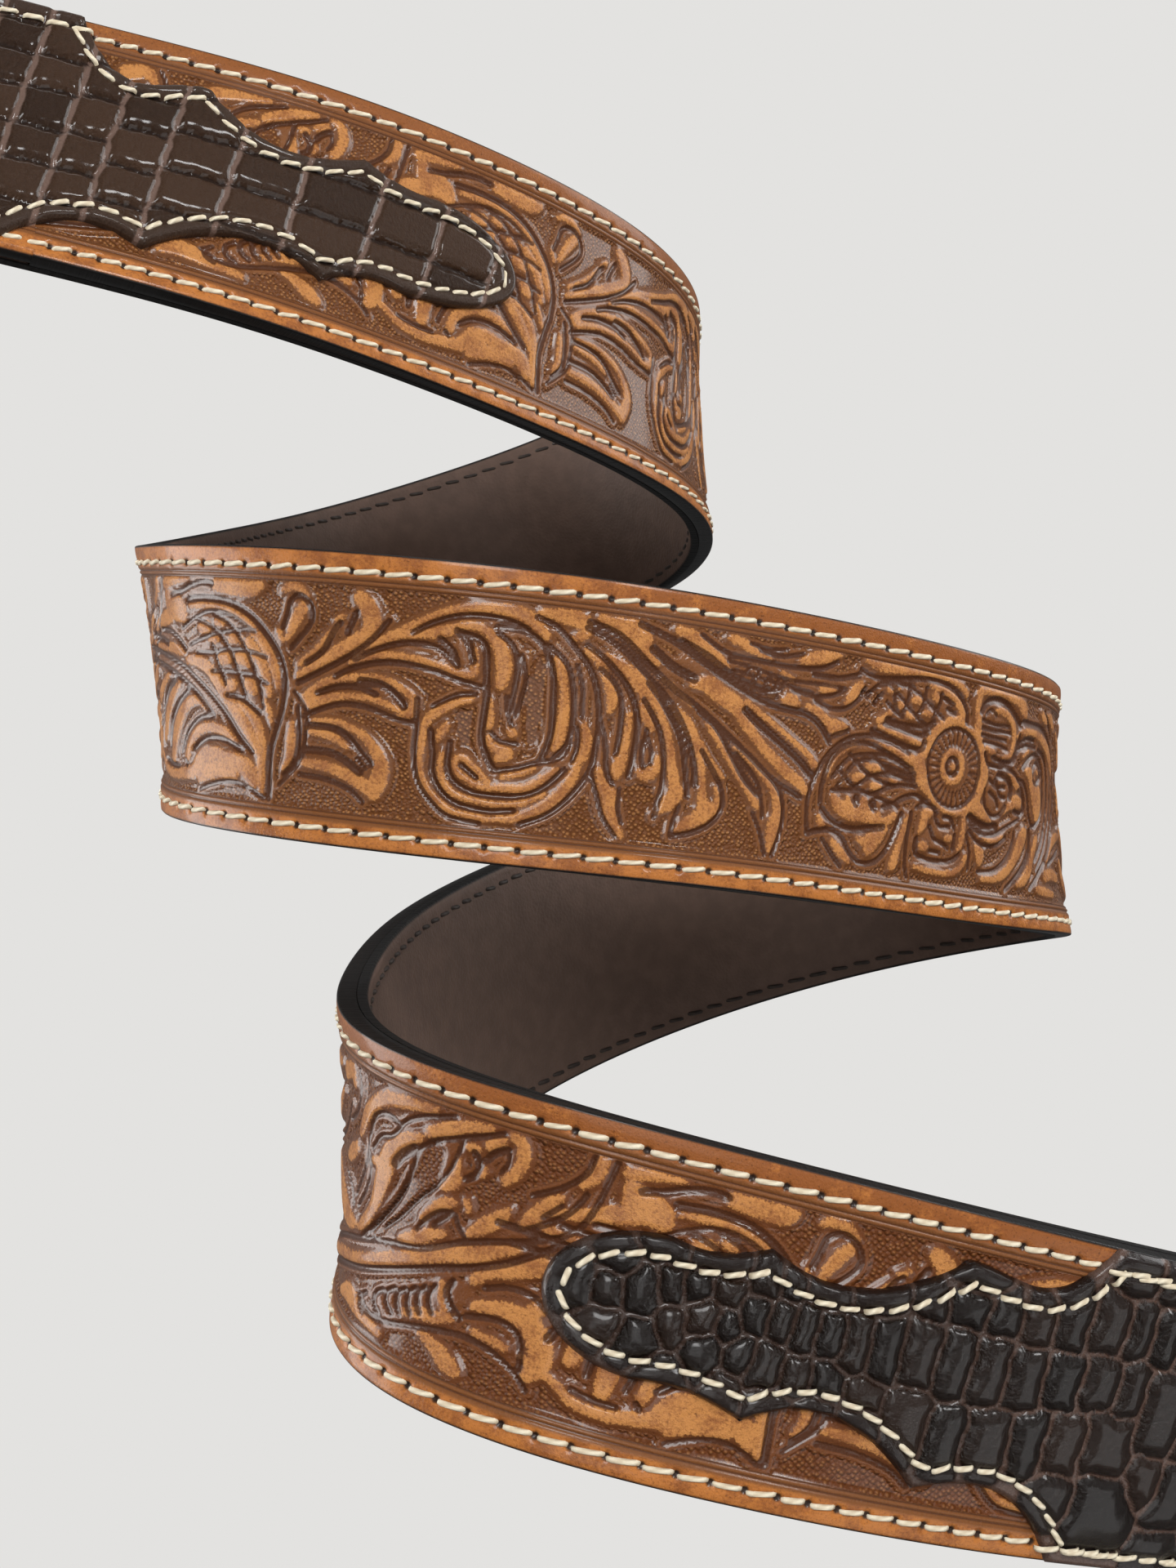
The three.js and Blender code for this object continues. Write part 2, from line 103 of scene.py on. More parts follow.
# Charted floral tooling, one repeat, in tenths of a millimetre, with a line to each stroke. A crest, body or
# pit gives the place along its motif, the distance across and the reach of its points. A cut gives the first
# two, and the number over the cuts is their half width. A line that is set in goes on with the stroke above.
CRESTS = {
    "leafy_run": """
70,80,5 95,105,9 130,120,9 165,124,5
80,30,5 115,48,10 150,68,9 180,92,4
205,126,11 230,133,9 240,120,5
230,28,6 242,35,10 258,46,8
140,-4,6 170,-10,11 200,-23,15 230,-36,15 260,-42,10 282,-40,4
270,70,6 285,100,9 315,125,9 350,134,7 400,140,4
385,103,4 360,90,9 340,68,14 332,45,15 327,20,12 320,-5,8 305,-28,8 292,-40,3
330,50,10 306,49,3
397,113,6 420,124,8 442,134,6 470,140,4
438,95,3 440,80,5 437,68,9 426,58,4
449,113,4 458,113,4
472,122,5 484,129,6
468,86,3.5 473,92,3.5
494,141,3 507,134,6 512,118,7 507,100,6 498,89,5
407,15,4 420,32,5 435,42,6 445,45,3
459,52,3.5 463,44,3.5
470,18,4 483,30,8 500,46,8 508,56,4
380,-20,4 402,-10,8 420,-1,7 440,8,3
70,-132,4 130,-120,5 180,-108,5 230,-93,6 290,-78,6 350,-56,7 400,-35,8 440,-16,9 480,-3,9 505,9,7 530,19,3
490,-28,6 505,-15,6 535,-3,8 560,10,9 568,22,4
527,45,4 537,60,8 552,80,7 562,90,3
403,-98,3 430,-89,6 455,-85,6 475,-78,4
453,-48,5 456,-62,5 463,-74,4
497,-56,5 530,-49,8 555,-52,11 572,-65,13 582,-83,13 580,-100,11 570,-112,5
503,-84,3 525,-86,4 542,-89,4
440,-109,3 460,-115,7 480,-126,10 495,-134,5
265,-129,4 295,-120,11 330,-127,8 380,-134,4
""",
    "acorn": """
94,138,8 90,123,9 80,110,4
130,136,7 160,140,5 200,142,2
137,120,9 150,106,17 176,100,16 190,90,7
40,69,3 80,75,6 120,86,10 150,92,10
265,136,8 300,134,10 335,133,10 351,138,4
205,106,3 240,108,4 280,106,5 305,99,5 330,87,6 355,68,6 374,48,7 387,25,7 391,7,3
235,78,8 250,79,8
270,87,5 282,86,5
258,63,5 270,63,5
284,39,9 296,40,9
320,42,8 336,38,9
300,2,8 310,4,8
302,65,6 320,65,5
342,8,9 350,2,8
335,62,7 354,46,7 368,24,6 378,-2,4
369,-12,3 380,-26,4 386,-40,2
200,32,5 230,32,8 255,24,8 275,9,8 295,-9,7 315,-25,8 340,-46,8 358,-66,7 366,-80,4
325,-19,3 346,-30,5 364,-48,7 374,-76,7 378,-105,7 381,-130,4
40,52,3 70,50,4 105,46,4 140,48,6 170,44,6 192,40,3
55,-48,7 72,-32,9 95,-14,8 120,2,5 135,8,3
117,-78,9 128,-48,10 151,-19,8 175,-3,4
164,-103,9 168,-72,12 185,-46,11 208,-27,8 235,-21,5 255,-30,3
214,-99,7 222,-79,7 242,-62,7 270,-55,6 300,-59,6 325,-70,3
60,-92,3 100,-107,4 130,-123,5 170,-127,6 200,-124,7 235,-119,9
238,-116,10 258,-99,14 285,-90,9 310,-93,8 335,-96,9 355,-106,12 368,-120,8
255,-120,11 290,-112,11 330,-109,11
""",
    "scroll": """
-12,135,3 0,140,5 13,138,5 26,128,2.5
0,72,3 6,86,6 13,102,8 21,115,7
-16,81,2.5 -8,69,3
18,-38,3 20,-60,6 20,-83,5 14,-98,3
21,40,3 45,60,4 60,79,4 69,91,2.5
71,100,3 79,107,2.5
22,26,4 50,43,5 75,60,8 97,75,8 114,88,9 118,105,11 110,122,11 100,132,8
128,79,2.5 155,94,4 180,108,4 205,122,4 235,131,6 270,135,6 305,131,9 324,120,8 338,107,4
100,57,2.5 125,75,3.5 155,87,4 182,93,5 207,98,7 230,107,5 252,110,5 270,100,6 284,82,9 290,60,9 288,40,7
95,49,3 130,60,4 165,62,4 200,56,5 230,49,5 252,49,5 254,65,2.5 252,80,2
37,-6,9 50,11,5 70,23,4 100,29,3.5 135,31,4 162,23,4 181,10,4 180,-8,6 166,-12,3
45,-9,7 80,2,4 115,5,3 145,0,3 170,-10,3
47,-32,2 80,-30,3 105,-36,4 125,-46,5 142,-64,7 150,-82,9 148,-100,11 144,-116,8
42,-44,4 70,-47,5 92,-55,4 102,-62,2
40,-87,4 70,-88,6 95,-93,6 120,-103,7 135,-110,8
255,17,2.5 235,9,4 214,-3,6 200,-20,4 198,-50,3.5 199,-80,4 208,-101,5 226,-118,5 245,-128,4 270,-132,5
 295,-133,3
227,-19,3 221,-30,5 218,-39,2
225,-55,2.5 224,-75,3 230,-90,3.5 245,-106,4 275,-111,4 300,-114,4 330,-108,4 355,-94,3
285,-86,3 265,-69,4 253,-59,3.5 242,-61,3.5 244,-74,3.5 260,-86,4 280,-93,4 305,-91,5 330,-89,5 348,-78,5
 366,-62,4
302,-78,2.5 323,-71,3.5 340,-63,2.5
393,-56,4 387,-72,6 370,-98,7 348,-117,7 320,-129,5 300,-131,3
277,18,2 280,-5,3.5 278,-25,3 286,-40,5 304,-47,8 293,-55,4
306,-17,4 310,-22,5
330,136,5 360,135,9 382,130,10 384,114,6 374,110,4
404,138,5 430,132,10 452,124,16 464,108,11 482,93,5
353,79,4 361,63,7 366,45,4 369,20,6 369,-5,7 366,-25,7 362,-35,3
396,1,3 402,-20,6 399,-40,6 392,-50,4
393,96,6 408,82,5 419,60,5 428,40,7 427,22,3
453,22,3 452,-10,4 450,-30,5 446,-46,8 444,-59,5
467,36,3 475,20,6 484,5,3
494,-32,4 492,-46,7 481,-55,8 470,-51,2
421,-55,3 426,-73,6 437,-85,10 438,-100,8 445,-118,7 457,-136,3
415,92,3 440,79,7 460,65,10 473,52,12 490,32,5 502,8,5 510,-20,6 516,-43,6 521,-65,7 523,-74,10 513,-89,8
 500,-101,3
490,73,2 505,64,3 520,54,3 535,43,2.5
507,39,3 524,24,7 537,9,7 547,-10,5 555,-35,4 559,-60,4 560,-80,6 566,-91,11 555,-103,9 540,-112,7 528,-120,3
552,-5,3 566,-25,3 577,-39,5 585,-46,2.5
578,-60,2 581,-76,3 577,-90,5
508,138,6 525,132,8 545,120,8 565,108,7 580,99,2.5
532,71,4 554,73,11 576,61,12 598,50,11 606,36,7 620,22,7 640,3,6 660,-12,7 680,-26,7 700,-37,7 711,-46,5
610,59,3 630,48,3 660,31,3 690,14,3 713,0,4 722,-10,5
558,21,2.5 575,3,4 590,-16,4 605,-36,3.5 620,-54,3.5 634,-68,6 638,-76,5
600,-4,2.5 620,-16,3.5 640,-30,4 655,-45,4 666,-60,5 670,-80,6 667,-96,9 664,-112,8 661,-130,3
580,138,4 596,135,6 610,129,5 625,124,3 641,119,2
""",
    "flower": """
-16,123,2 0,129,7 18,135,8 35,139,6 48,142,2
-39,104,2.5 -23,98,3
-53,72,3 -49,72,3
-35,68,3 -23,71,8 -12,67,3
23,92,4 35,95,5 46,98,3
64,79,2.5 73,91,7 82,104,7 88,111,2.5
3,66,3 20,62,5 37,51,6 52,45,10 65,47,5
92,143,2 120,139,6 160,141,5 200,143,4 240,144,4 267,139,4 286,128,4
205,130,2 240,125,4 265,115,5 279,102,6 282,90,4
137,111,5 149,114,5
155,93,5 162,93,5
182,104,5 191,105,5
220,117,5 224,112,5
174,82,4 184,81,4
202,90,3.5 216,90,3.5
122,66,4 135,73,4 142,80,3
125,59,2.5 150,55,3.5 180,50,3.5 202,46,2.5
130,33,2 160,30,4 190,21,8 206,12,12 218,-5,10 232,-18,5 246,-29,4 265,-37,4 290,-39,4 312,-34,5 330,-25,8
 340,-9,6 344,10,9 346,24,10 337,46,7 330,63,6 321,80,7 316,100,6 312,120,5 316,138,6 340,142,5 380,142,5
 410,139,6 433,131,9 442,119,5
209,28,7 219,45,6 226,62,7 239,76,6 256,85,6 274,89,6 294,81,2 318,76,5
43,-23,2 50,-5,2.5 65,15,2 90,29,2
69,-26,2.5 78,-14,3.5
92,-17,6 104,-15,5
112,1,5 129,2,6
124,-24,5 135,-24,5
156,-11,3 165,-11,3
58,-48,5 70,-60,9 90,-64,11 110,-62,12 130,-68,6 150,-70,5 168,-59,5
82,-46,3 84,-60,6
112,-44,4 112,-60,7
139,-60,3 142,-70,4
36,-78,3 41,-87,6
154,-80,4 142,-90,9 130,-100,12 126,-111,7
106,-98,3 120,-103,6
63,-108,4 76,-119,6 91,-129,4
194,-56,2.5 188,-80,4 182,-100,4.5 177,-119,7 173,-129,5
240,-46,4 230,-48,7 226,-64,6 221,-74,3
229,-93,6 235,-93,6
279,-77,4 288,-76,3.5
218,-123,2.5 250,-126,3 280,-126,3 305,-122,4 320,-110,3.5 326,-98,3
312,-43,3 314,-60,4 312,-80,4 306,-93,2
354,112,3 365,118,4 385,116,5 405,105,5 414,88,4.5 414,70,4 408,58,4 390,52,2.5
345,61,3 365,56,3.5
403,30,3 425,26,5 443,16,6 454,4,5 456,-8,6 440,-7,10 424,-13,6 406,-26,2.5
329,-26,7 346,-29,9 365,-38,5 377,-43,2
364,-66,2.5 385,-69,3.5 403,-65,4 413,-60,2
350,-82,5 359,-90,9 360,-102,5
475,-50,9 468,-62,11 458,-80,10 445,-97,7 425,-113,7 400,-123,4 370,-125,3
520,-54,6 514,-70,6 508,-86,5 500,-103,8 485,-117,8 468,-125,4
464,43,4 482,38,9 496,22,11 510,9,17 516,-8,14 517,-20,8
504,44,3 506,44,3
423,87,2 440,97,4 470,100,4 500,98,5 530,90,6 555,77,7 570,60,5 575,49,2
450,62,2 466,72,2.5
505,133,4 524,127,7 550,132,6 572,120,5
570,-78,6 588,-57,8 618,-44,7 645,-40,4
565,-106,8 595,-102,8 625,-106,5
535,-128,5 565,-130,6 600,-132,4
605,115,5 625,95,8 636,70,5
615,35,5 635,12,9 645,-5,4
""",
}
CUTS = {
    "leafy_run": """
2
494,124 496,108 490,96
2.5
440,120 434,90 420,60 395,35 370,3 345,-20
547,62 564,80
448,32 454,22 467,10
3
302,-47 330,-20 360,18 377,60 385,88 405,105 430,116 460,128 485,139
70,-116 180,-92 240,-70 300,-51 360,-32 415,-19 460,4 500,19 550,36 584,57 600,90 613,144
267,-10 286,30 290,70 300,100 325,110 346,106
300,60 315,80 340,90 355,110 380,125 425,140
337,-103 327,-110 328,-120 340,-126
444,-52 438,-64 441,-76 448,-83
278,-20 294,5 301,30 294,50
225,70 250,90 257,120 250,140
100,10 150,24 200,50 224,90
322,-110 350,-122 385,-118 420,-108 460,-98 495,-93 530,-99 560,-113 575,-127
490,-70 525,-63 550,-70 560,-90 562,-108
530,42 555,58 575,77 587,100
586,144 581,122 560,100 530,82
503,-34 530,-24 560,-26 580,-39
402,0 414,17 430,30 440,32
3.5
70,-142 180,-122 260,-98 320,-80 380,-57 440,-33 480,-18 520,0 555,24 574,38
368,-87 356,-96 357,-108 370,-115
388,-77 376,-86 378,-98 390,-106
404,-72 394,-80 395,-92 404,-100
418,-65 410,-74 411,-86 419,-94
431,-59 423,-69 425,-80 432,-88
4
464,-40 460,-52 468,-66 482,-76
456,108 464,96 462,84 452,76
472,105 480,115 490,122
424,13 435,24 442,32
220,2 245,-6 262,-24
6
350,60 360,73 377,86
""",
    "acorn": """
2.5
180,74 220,92 260,101 300,96 336,80
215,90 260,79 297,52 318,20 337,-12
255,99 297,84 330,53 354,14 370,-22
204,53 240,64 280,73 325,79 345,77
224,43 260,45 300,51 340,50 368,44
264,20 300,21 340,19 373,10
260,56 280,26 296,4
255,-141 290,-130 325,-124 360,-130 385,-140
3
300,-10 330,-13 364,-30
125,-110 155,-115 185,-116
208,-106 214,-112
3.5
0,42 60,41 120,35 180,24 220,9 260,-10 300,-36 332,-64 358,-82
20,25 60,24 120,18 180,6 220,-8 247,-22 273,-40
105,71 140,69 170,59 192,46
70,59 105,57 134,51
273,-40 235,-47 205,-69 192,-96
338,-81 300,-70 260,-72 230,-88
4
150,120 180,126 205,134 235,139 257,137
4.5
197,115 235,118 275,116 310,109 340,95 366,74 388,48 400,18 401,-15 394,-50 388,-85 394,-138
202,-10 170,-29 146,-55 140,-90
5
155,2 125,-13 102,-36 85,-64
""",
    "scroll": """
2.5
16,3 33,-12 40,-35 38,-80 24,-102 8,-120
116,-74 128,-87
296,25 300,5 307,-12
281,-22 296,-33 316,-34
310,80 318,50 314,20 311,2
380,76 390,46 393,10
388,-4 391,-26 387,-48
480,-6 487,-26 487,-40
478,4 474,-30 478,-46
412,-63 422,-90 432,-115 450,-138
450,-76 450,-100 456,-120
530,-90 524,-110 521,-128
602,-11 625,-31 640,-50 647,-75 649,-90
610,-28 628,-50 639,-62
634,-86 647,-110 656,-138
3
24,-16 30,-50 29,-84 14,-106
35,-27 60,-15 90,-6 125,-8 160,-18 185,-22
37,-103 75,-105 110,-115 130,-130
207,3 235,20 258,24
186,10 188,-25 189,-60 197,-92 214,-115 240,-135 280,-140
250,-68 270,-82
295,-70 320,-64 340,-56 370,-46 382,-25
278,104 298,90 306,65 305,30 302,4
342,96 366,76 378,46 382,10 379,-25 364,-46
410,74 430,58 441,36 443,0 441,-32
414,14 426,-20 431,-54 440,-72
470,42 484,22 496,2 503,-25 505,-60 498,-108
554,-14 572,-38 586,-60 589,-84 576,-106 550,-122 522,-130
658,-37 674,-56 680,-80 677,-106 668,-138
540,136 580,118 640,115 680,115 720,120 746,133
3.5
-10,86 -4,104 0,122 14,129 28,120 34,106 30,90 6,60
31,42 54,60 67,87 75,98
20,15 55,34 93,57 120,80 140,106
173,94 195,108 225,120 255,124 290,121 314,113
100,53 130,69 165,80 200,79 220,68 232,57
207,90 224,76 231,60
75,28 95,40 130,51 165,53 205,48 235,39 266,33
52,5 80,15 110,17 132,10
207,-28 213,-60 214,-80 227,-103 250,-118 285,-123 320,-119
233,-40 233,-70 242,-89 265,-101 295,-103 330,-99 355,-86 378,-60
324,130 350,120 374,98 394,76 407,50 415,10 414,-30 410,-58 392,-90 365,-118 330,-136
276,112 310,110 334,96 350,65 355,20 356,-20 346,-55
388,124 415,114 445,96 475,70 505,44 530,6 544,-30 549,-60
390,102 416,86 440,64 456,40 465,10 464,-30 460,-60
474,64 494,42 514,16 528,-14 536,-52 540,-76
546,36 572,18 596,-14 614,-40 636,-60
4
86,86 91,100 96,113
227,102 242,88 251,65
234,100 258,92 266,76 269,50 272,20 271,-10 272,-34 280,-54 290,-70
45,-38 80,-39 102,-49 120,-66 135,-80
390,132 430,120 474,86 510,60 550,38 585,14 620,-10 660,-38 704,-56
514,124 550,110 580,94 620,80 654,72
4.5
110,26 140,23 162,8 170,-2
40,-70 75,-70 100,-78 122,-92
456,138 500,124 550,99 600,76 650,60 700,56 726,45 744,24
5.5
611,47 640,28 670,10 700,-9 718,-24
6
476,108 504,90 534,78
""",
    "flower": """
2
-120,109 -70,103 -30,97 20,99 64,100
-110,98 -65,92 -30,89 10,86
-100,88 -70,82 -45,80
-92,106 -89,96
-76,103 -73,93
-82,94 -79,84
-64,91 -60,80
-59,101 -56,92
-46,98 -43,82
-50,89 -48,79
-33,98 -39,80
2.5
-90,136 -60,133 -34,137
-75,129 -44,126 -10,135
-20,84 15,82 45,88 62,98
114,86 126,104
131,120 160,103 190,82 220,72
160,123 190,115 220,100 244,87
135,94 146,86 166,77
147,120 148,100 154,82
173,124 172,102 166,86
205,126 202,100 192,84
234,122 232,104 224,86
200,3 160,16 120,19 80,8 54,-22
200,-2 160,5 120,11 90,2 64,-32
200,-8 160,-5 130,-8 106,-20 90,-36
206,-14 170,-17 140,-28 120,-38
80,14 106,-4 134,-15 166,-19
62,-8 90,-28 116,-36
120,18 146,2 180,-6
330,99 360,96 400,99
330,88 360,87 390,89 405,90
330,78 360,77 396,78
335,69 365,69 400,66
336,108 346,116 360,110
330,-52 360,-62 390,-60 420,-47 460,-30
324,-66 336,-90 336,-116
360,-116 400,-110 430,-90 445,-65 446,-50
3
16,76 40,70 65,73 85,88 96,106
50,34 74,44
100,94 116,112 140,120 180,122
240,116 260,110
250,102 266,98
134,63 170,59 200,57 218,64
20,-100 17,-60 26,-25 46,10 76,34 110,43 150,40 184,30
38,-60 39,-30 52,6 78,26 110,32 150,23 194,9
56,-39 80,-36 110,-34 144,-40 176,-46
46,-106 65,-126 80,-139
203,-50 199,-90 200,-120 206,-139
212,-42 225,-36 245,-37 254,-46
252,-50 264,-62 284,-60
242,-64 254,-80 270,-84 286,-90
270,-48 286,-49 296,-62
248,-98 270,-99
298,-70 297,-90
364,18 384,9 406,11
368,0 386,-8 394,-19
356,2 360,-20 380,-33 400,-30 413,-16
380,20 396,-2 410,-4
330,-60 350,-73 370,-78 400,-74 424,-60
490,44 496,30 512,28 522,40 516,54 500,58 490,44
420,58 440,72 466,79 494,80
576,30 580,0 574,-30 556,-70 530,-100
600,128 616,104 624,76
610,50 622,24 636,-14
520,138 546,120 568,102
3.5
10,110 50,112 84,122
86,130 100,125 120,123 160,129 200,136 240,135 270,125 290,106 294,89
114,52 140,46 180,38 206,38 213,50
148,-50 166,-44 180,-34 206,-26 230,-32
20,-102 40,-95 60,-93 80,-101 95,-119 115,-130 140,-126 160,-108 174,-80 184,-54
218,-84 217,-98 224,-107 250,-111 280,-110 302,-104 312,-96
344,52 356,39 380,37 410,39 440,30 462,10 472,-12 464,-22 440,-20
442,26 464,24 480,6 492,-22 510,-37 532,-24 540,0 538,30 524,58 500,69 478,64 456,46
435,78 460,88 485,89
580,-88 610,-76 650,-60
4
366,50 390,46 420,49 430,64 432,90
446,10 463,2 465,-10
505,78 535,70 554,45 562,10 556,-30 544,-60 524,-86
440,112 470,112 510,112 550,99 580,70 598,30 600,0 590,-40 570,-75 540,-105 510,-129
4.5
138,70 170,66 210,70 226,79
42,-66 60,-80 90,-87 120,-83 150,-77
496,-44 498,-70 484,-96 460,-118 436,-135
5
98,-44 98,-52
323,110 335,125 360,132 390,127 420,113 432,105
386,26 410,25 425,12 423,-2
6
128,-48 130,-52
326,-41 350,-49 370,-51 394,-48
""",
}
# Rounded leaf bodies without a crest
BODIES = {
    "leafy_run": """
420,82,26 395,50,20 364,16,14 335,-18,8
375,-94,16 430,-70,16 480,-48,14
""",
    "acorn": """
260,60,30 310,30,36 350,0,20
""",
    "scroll": """
332,70,16 330,20,18 330,-30,12
515,96,10 560,80,10 620,92,16 670,90,14
476,25,10 478,-20,10 480,-50,8
240,80,14 260,50,8
""",
    "flower": """
80,-20,24 120,0,22 170,-10,14
160,100,24 210,100,22 256,106,10
250,-70,24 286,-74,20
360,90,24 390,90,20
380,-2,22 440,0,20
504,44,18 550,40,20 570,0,20 556,-60,16
280,22,62 281,22,62
""",
}
# Matted hollows inside a leaf
PITS = {
    "leafy_run": """
408,93,12 404,75,16 396,50,17 378,24,16 357,-3,14 334,-26,9 320,-39,4
480,70,13 484,66,12
""",
    "acorn": """
310,-137,6 350,-136,7
""",
    "scroll": """
333,74,10 331,20,15 331,-28,10
244,-4,9 250,-30,11
472,-84,18 480,-84,18
""",
    "flower": """
390,-86,9 380,-100,8 406,-86,6
86,102,1 114,96,11
292,122,5 300,140,6
""",
}


class Layer(Enum):
    """What a charted stroke does to the leather."""

    CREST = "crest"
    CUT = "cut"
    BODY = "body"
    PIT = "pit"


CHART = {Layer.CREST: CRESTS, Layer.CUT: CUTS, Layer.BODY: BODIES, Layer.PIT: PITS}
# Phase in the repeat where each motif's own places begin
MOTIF_STARTS = {"leafy_run": -160, "acorn": -110, "scroll": -70, "flower": 0}


def read_strokes(layer: Layer, motif: str) -> Strokes:
    """Reads a motif's strokes from the chart.

    Args:
        layer: What the strokes do to the leather.
        motif: Name of the motif.

    Returns:
        The strokes, as points of phase, distance across and reach.
    """
    strokes, width = [], ()
    for line in CHART[layer][motif].replace("\n ", " ").split("\n")[1:-1]:
        points = [tuple(float(tenths) / 10 for tenths in point.split(",")) for point in line.split()]
        if len(points[0]) == 1:
            width = points[0]
            continue
        strokes.append([(round(MOTIF_STARTS[motif] + x, 2), *rest, *width) for x, *rest in points])
    return strokes


@dataclass(frozen=True)
class Placing:
    """One impression of some motifs: where its phase 0 falls, and how it differs from the chart."""

    anchor: float  # Station of the chart's phase 0
    motifs: tuple[str, ...] = ("leafy_run", "acorn", "scroll", "flower")
    flipped: bool = False  # Turned over across the belt
    first_phase: float = -200.0  # Strokes whose middle lies before it are left out
    # Pairs of a charted phase and the phase where it was really struck
    stretch: tuple[tuple[float, float], ...] = ((-200, -200), (200, 200))


UPPER_STRETCH = ((-200, -203.2), (-70.3, -73.5), (-54.7, -52.8), (-50.3, -44.8), (-22, -20), (200, 200))
LOWER_STRETCH = ((-200, -200), (-100, -100), (-86, -88), (-70.3, -75.2), (-54.7, -56), (200, 200))
PLACINGS = (
    Placing(anchor=200, stretch=UPPER_STRETCH),
    Placing(anchor=418, motifs=("leafy_run", "acorn"), flipped=True),
    Placing(anchor=505),
    Placing(anchor=723, motifs=("leafy_run", "acorn"), flipped=True),
    Placing(anchor=705, motifs=("scroll", "flower"), flipped=True, first_phase=-50),
    Placing(anchor=923, stretch=LOWER_STRETCH),
)


def smooth_line(points: Sequence[Sequence[float]], pieces: int = 4) -> Array:
    """Runs a Catmull-Rom curve through points.

    Between two points it is the cubic whose slope at each is half the way between that point's neighbours.

    Args:
        points: The points, a row each, with as many columns as wanted.
        pieces: How many straight pieces stand for the curve between two points.

    Returns:
        The curve's points, a row each.
    """
    rows = np.asarray(points, float)
    if len(rows) < 3:
        return rows
    ends = np.vstack([2 * rows[0] - rows[1], rows, 2 * rows[-1] - rows[-2]])
    u = (np.arange(pieces) / pieces)[None, :, None]
    a, b, c, d = ends[:-3, None], ends[1:-2, None], ends[2:-1, None], ends[3:, None]
    curve = 2 * b + (c - a) * u + (2 * a - 5 * b + 4 * c - d) * u**2 + (3 * b - a - 3 * c + d) * u**3
    return np.vstack([curve.reshape(-1, rows.shape[1]) / 2, rows[-1]])


def passage(distance: Array, width: float) -> Array:
    """Eases from 1 inside an outline to 0 outside it.

    Args:
        distance: Signed distance to the outline, negative inside.
        width: Width of the whole passage.

    Returns:
        A smooth step: three times the square of the share that is left, less twice its cube.
    """
    share = np.clip(0.5 - distance / width, 0, 1)
    return share * share * (3 - 2 * share)


def bell(distance: Array) -> Array:
    """Gives a bell curve, e to the power of minus the distance squared."""
    return np.exp(-(distance**2))


def turn_matrix(vector: Array) -> Array:
    """Gives the rotation about a vector, by its length in radians.

    Args:
        vector: The axis times the angle.

    Returns:
        The 3 by 3 matrix: 1, plus the axis' cross product times the sine, plus its square times 1 less the
        cosine.
    """
    angle = np.linalg.norm(vector)
    x, y, z = vector / max(angle, 1e-12)
    cross = np.array([[0, -z, y], [z, 0, -x], [-y, x, 0]])
    return np.eye(3) + math.sin(angle) * cross + (1 - math.cos(angle)) * cross @ cross


@dataclass
class BeltRun:
    """The line that the belt's middle follows, with the local axes along, across and out of the belt.

    At the bar it has this heading, dip and lean, in degrees.
    """

    heading: float = 25.73
    dip: float = 8.06
    lean: float = 71.37
    step: float = 0.5

    def __post_init__(self) -> None:
        """Lays the run in short steps, each bent and twisted by the rates at its middle."""
        self.stations = np.arange(0, TIP_STATION + self.step / 2, self.step)
        middles = self.stations[:-1] + self.step / 2
        bend, twist = self.rate(1, middles), self.rate(2, middles)
        turns = np.stack([-twist, bend, np.zeros_like(bend)], axis=1) * self.step
        angles = [math.radians(angle) for angle in (self.lean, self.dip, self.heading)]
        axes = np.array(Euler(angles, "XYZ").to_matrix())
        place = np.zeros(3)
        self.places, self.axes = [place], [axes]
        for turn in turns:
            place = place + (axes @ turn_matrix(turn / 2))[:, 0] * self.step
            axes = axes @ turn_matrix(turn)
            self.places.append(place)
            self.axes.append(axes)
        self.places, self.axes = np.array(self.places), np.array(self.axes)

    def rate(self, column: int, station: Array) -> Array:
        """Reads a column of the coil's table on a smooth curve through its rows.

        Between two rows it is the cubic through both values, with the slope at each row that the line between
        its two neighbours has.

        Args:
            column: 1 for the bend and 2 for the twist.
            station: Where to read it.

        Returns:
            The rate in radians per mm.
        """
        table = np.array(RUN, float)
        at, value = table[:, 0], np.radians(table[:, column] / 100)
        slope = np.gradient(value, at)
        slope[1:-1] = (value[2:] - value[:-2]) / (at[2:] - at[:-2])
        row = np.clip(np.searchsorted(at, station, side="right") - 1, 0, len(at) - 2)
        length = at[row + 1] - at[row]
        u = (station - at[row]) / length
        return (
            (2 * u**3 - 3 * u**2 + 1) * value[row] + (u**3 - 2 * u**2 + u) * length * slope[row]
            + (3 * u**2 - 2 * u**3) * value[row + 1] + (u**3 - u**2) * length * slope[row + 1]
        )

    def frames(self, station: Array) -> tuple[Array, Array]:
        """Gives the place and the local axes at some stations.

        Args:
            station: The stations, in an array of any shape.

        Returns:
            The places, and the axes as matrices whose columns run along, across and out.
        """
        at = np.clip(station, 0, TIP_STATION) / self.step
        index = np.minimum(at.astype(int), len(self.stations) - 2)
        u = (at - index)[..., None]
        place = self.places[index] * (1 - u) + self.places[index + 1] * u
        axes = self.axes[index] * (1 - u[..., None]) + self.axes[index + 1] * u[..., None]
        return place, axes / np.linalg.norm(axes, axis=-2, keepdims=True)

    def point(self, station: Array, across: Array, out: Array, along: Array | float = 0.0) -> Array:
        """Carries points of the belt into space, with its edges curled outwards where it bends.

        The level grows by the curl times the bend times half the square of the distance across.

        Args:
            station: Stations of the points.
            across: Their distances across the belt.
            out: Their levels out of the belt's middle.
            along: How far they lie ahead of their station's own plane.

        Returns:
            The points, with a last axis of three.
        """
        station, across, out, along = np.broadcast_arrays(station, across, out, along)
        place, axes = self.frames(station)
        level = out + EDGE_CURL * self.rate(1, station) * across**2 / 2
        return place + np.einsum("...ij,...j->...i", axes, np.stack([along, across, level], axis=-1))


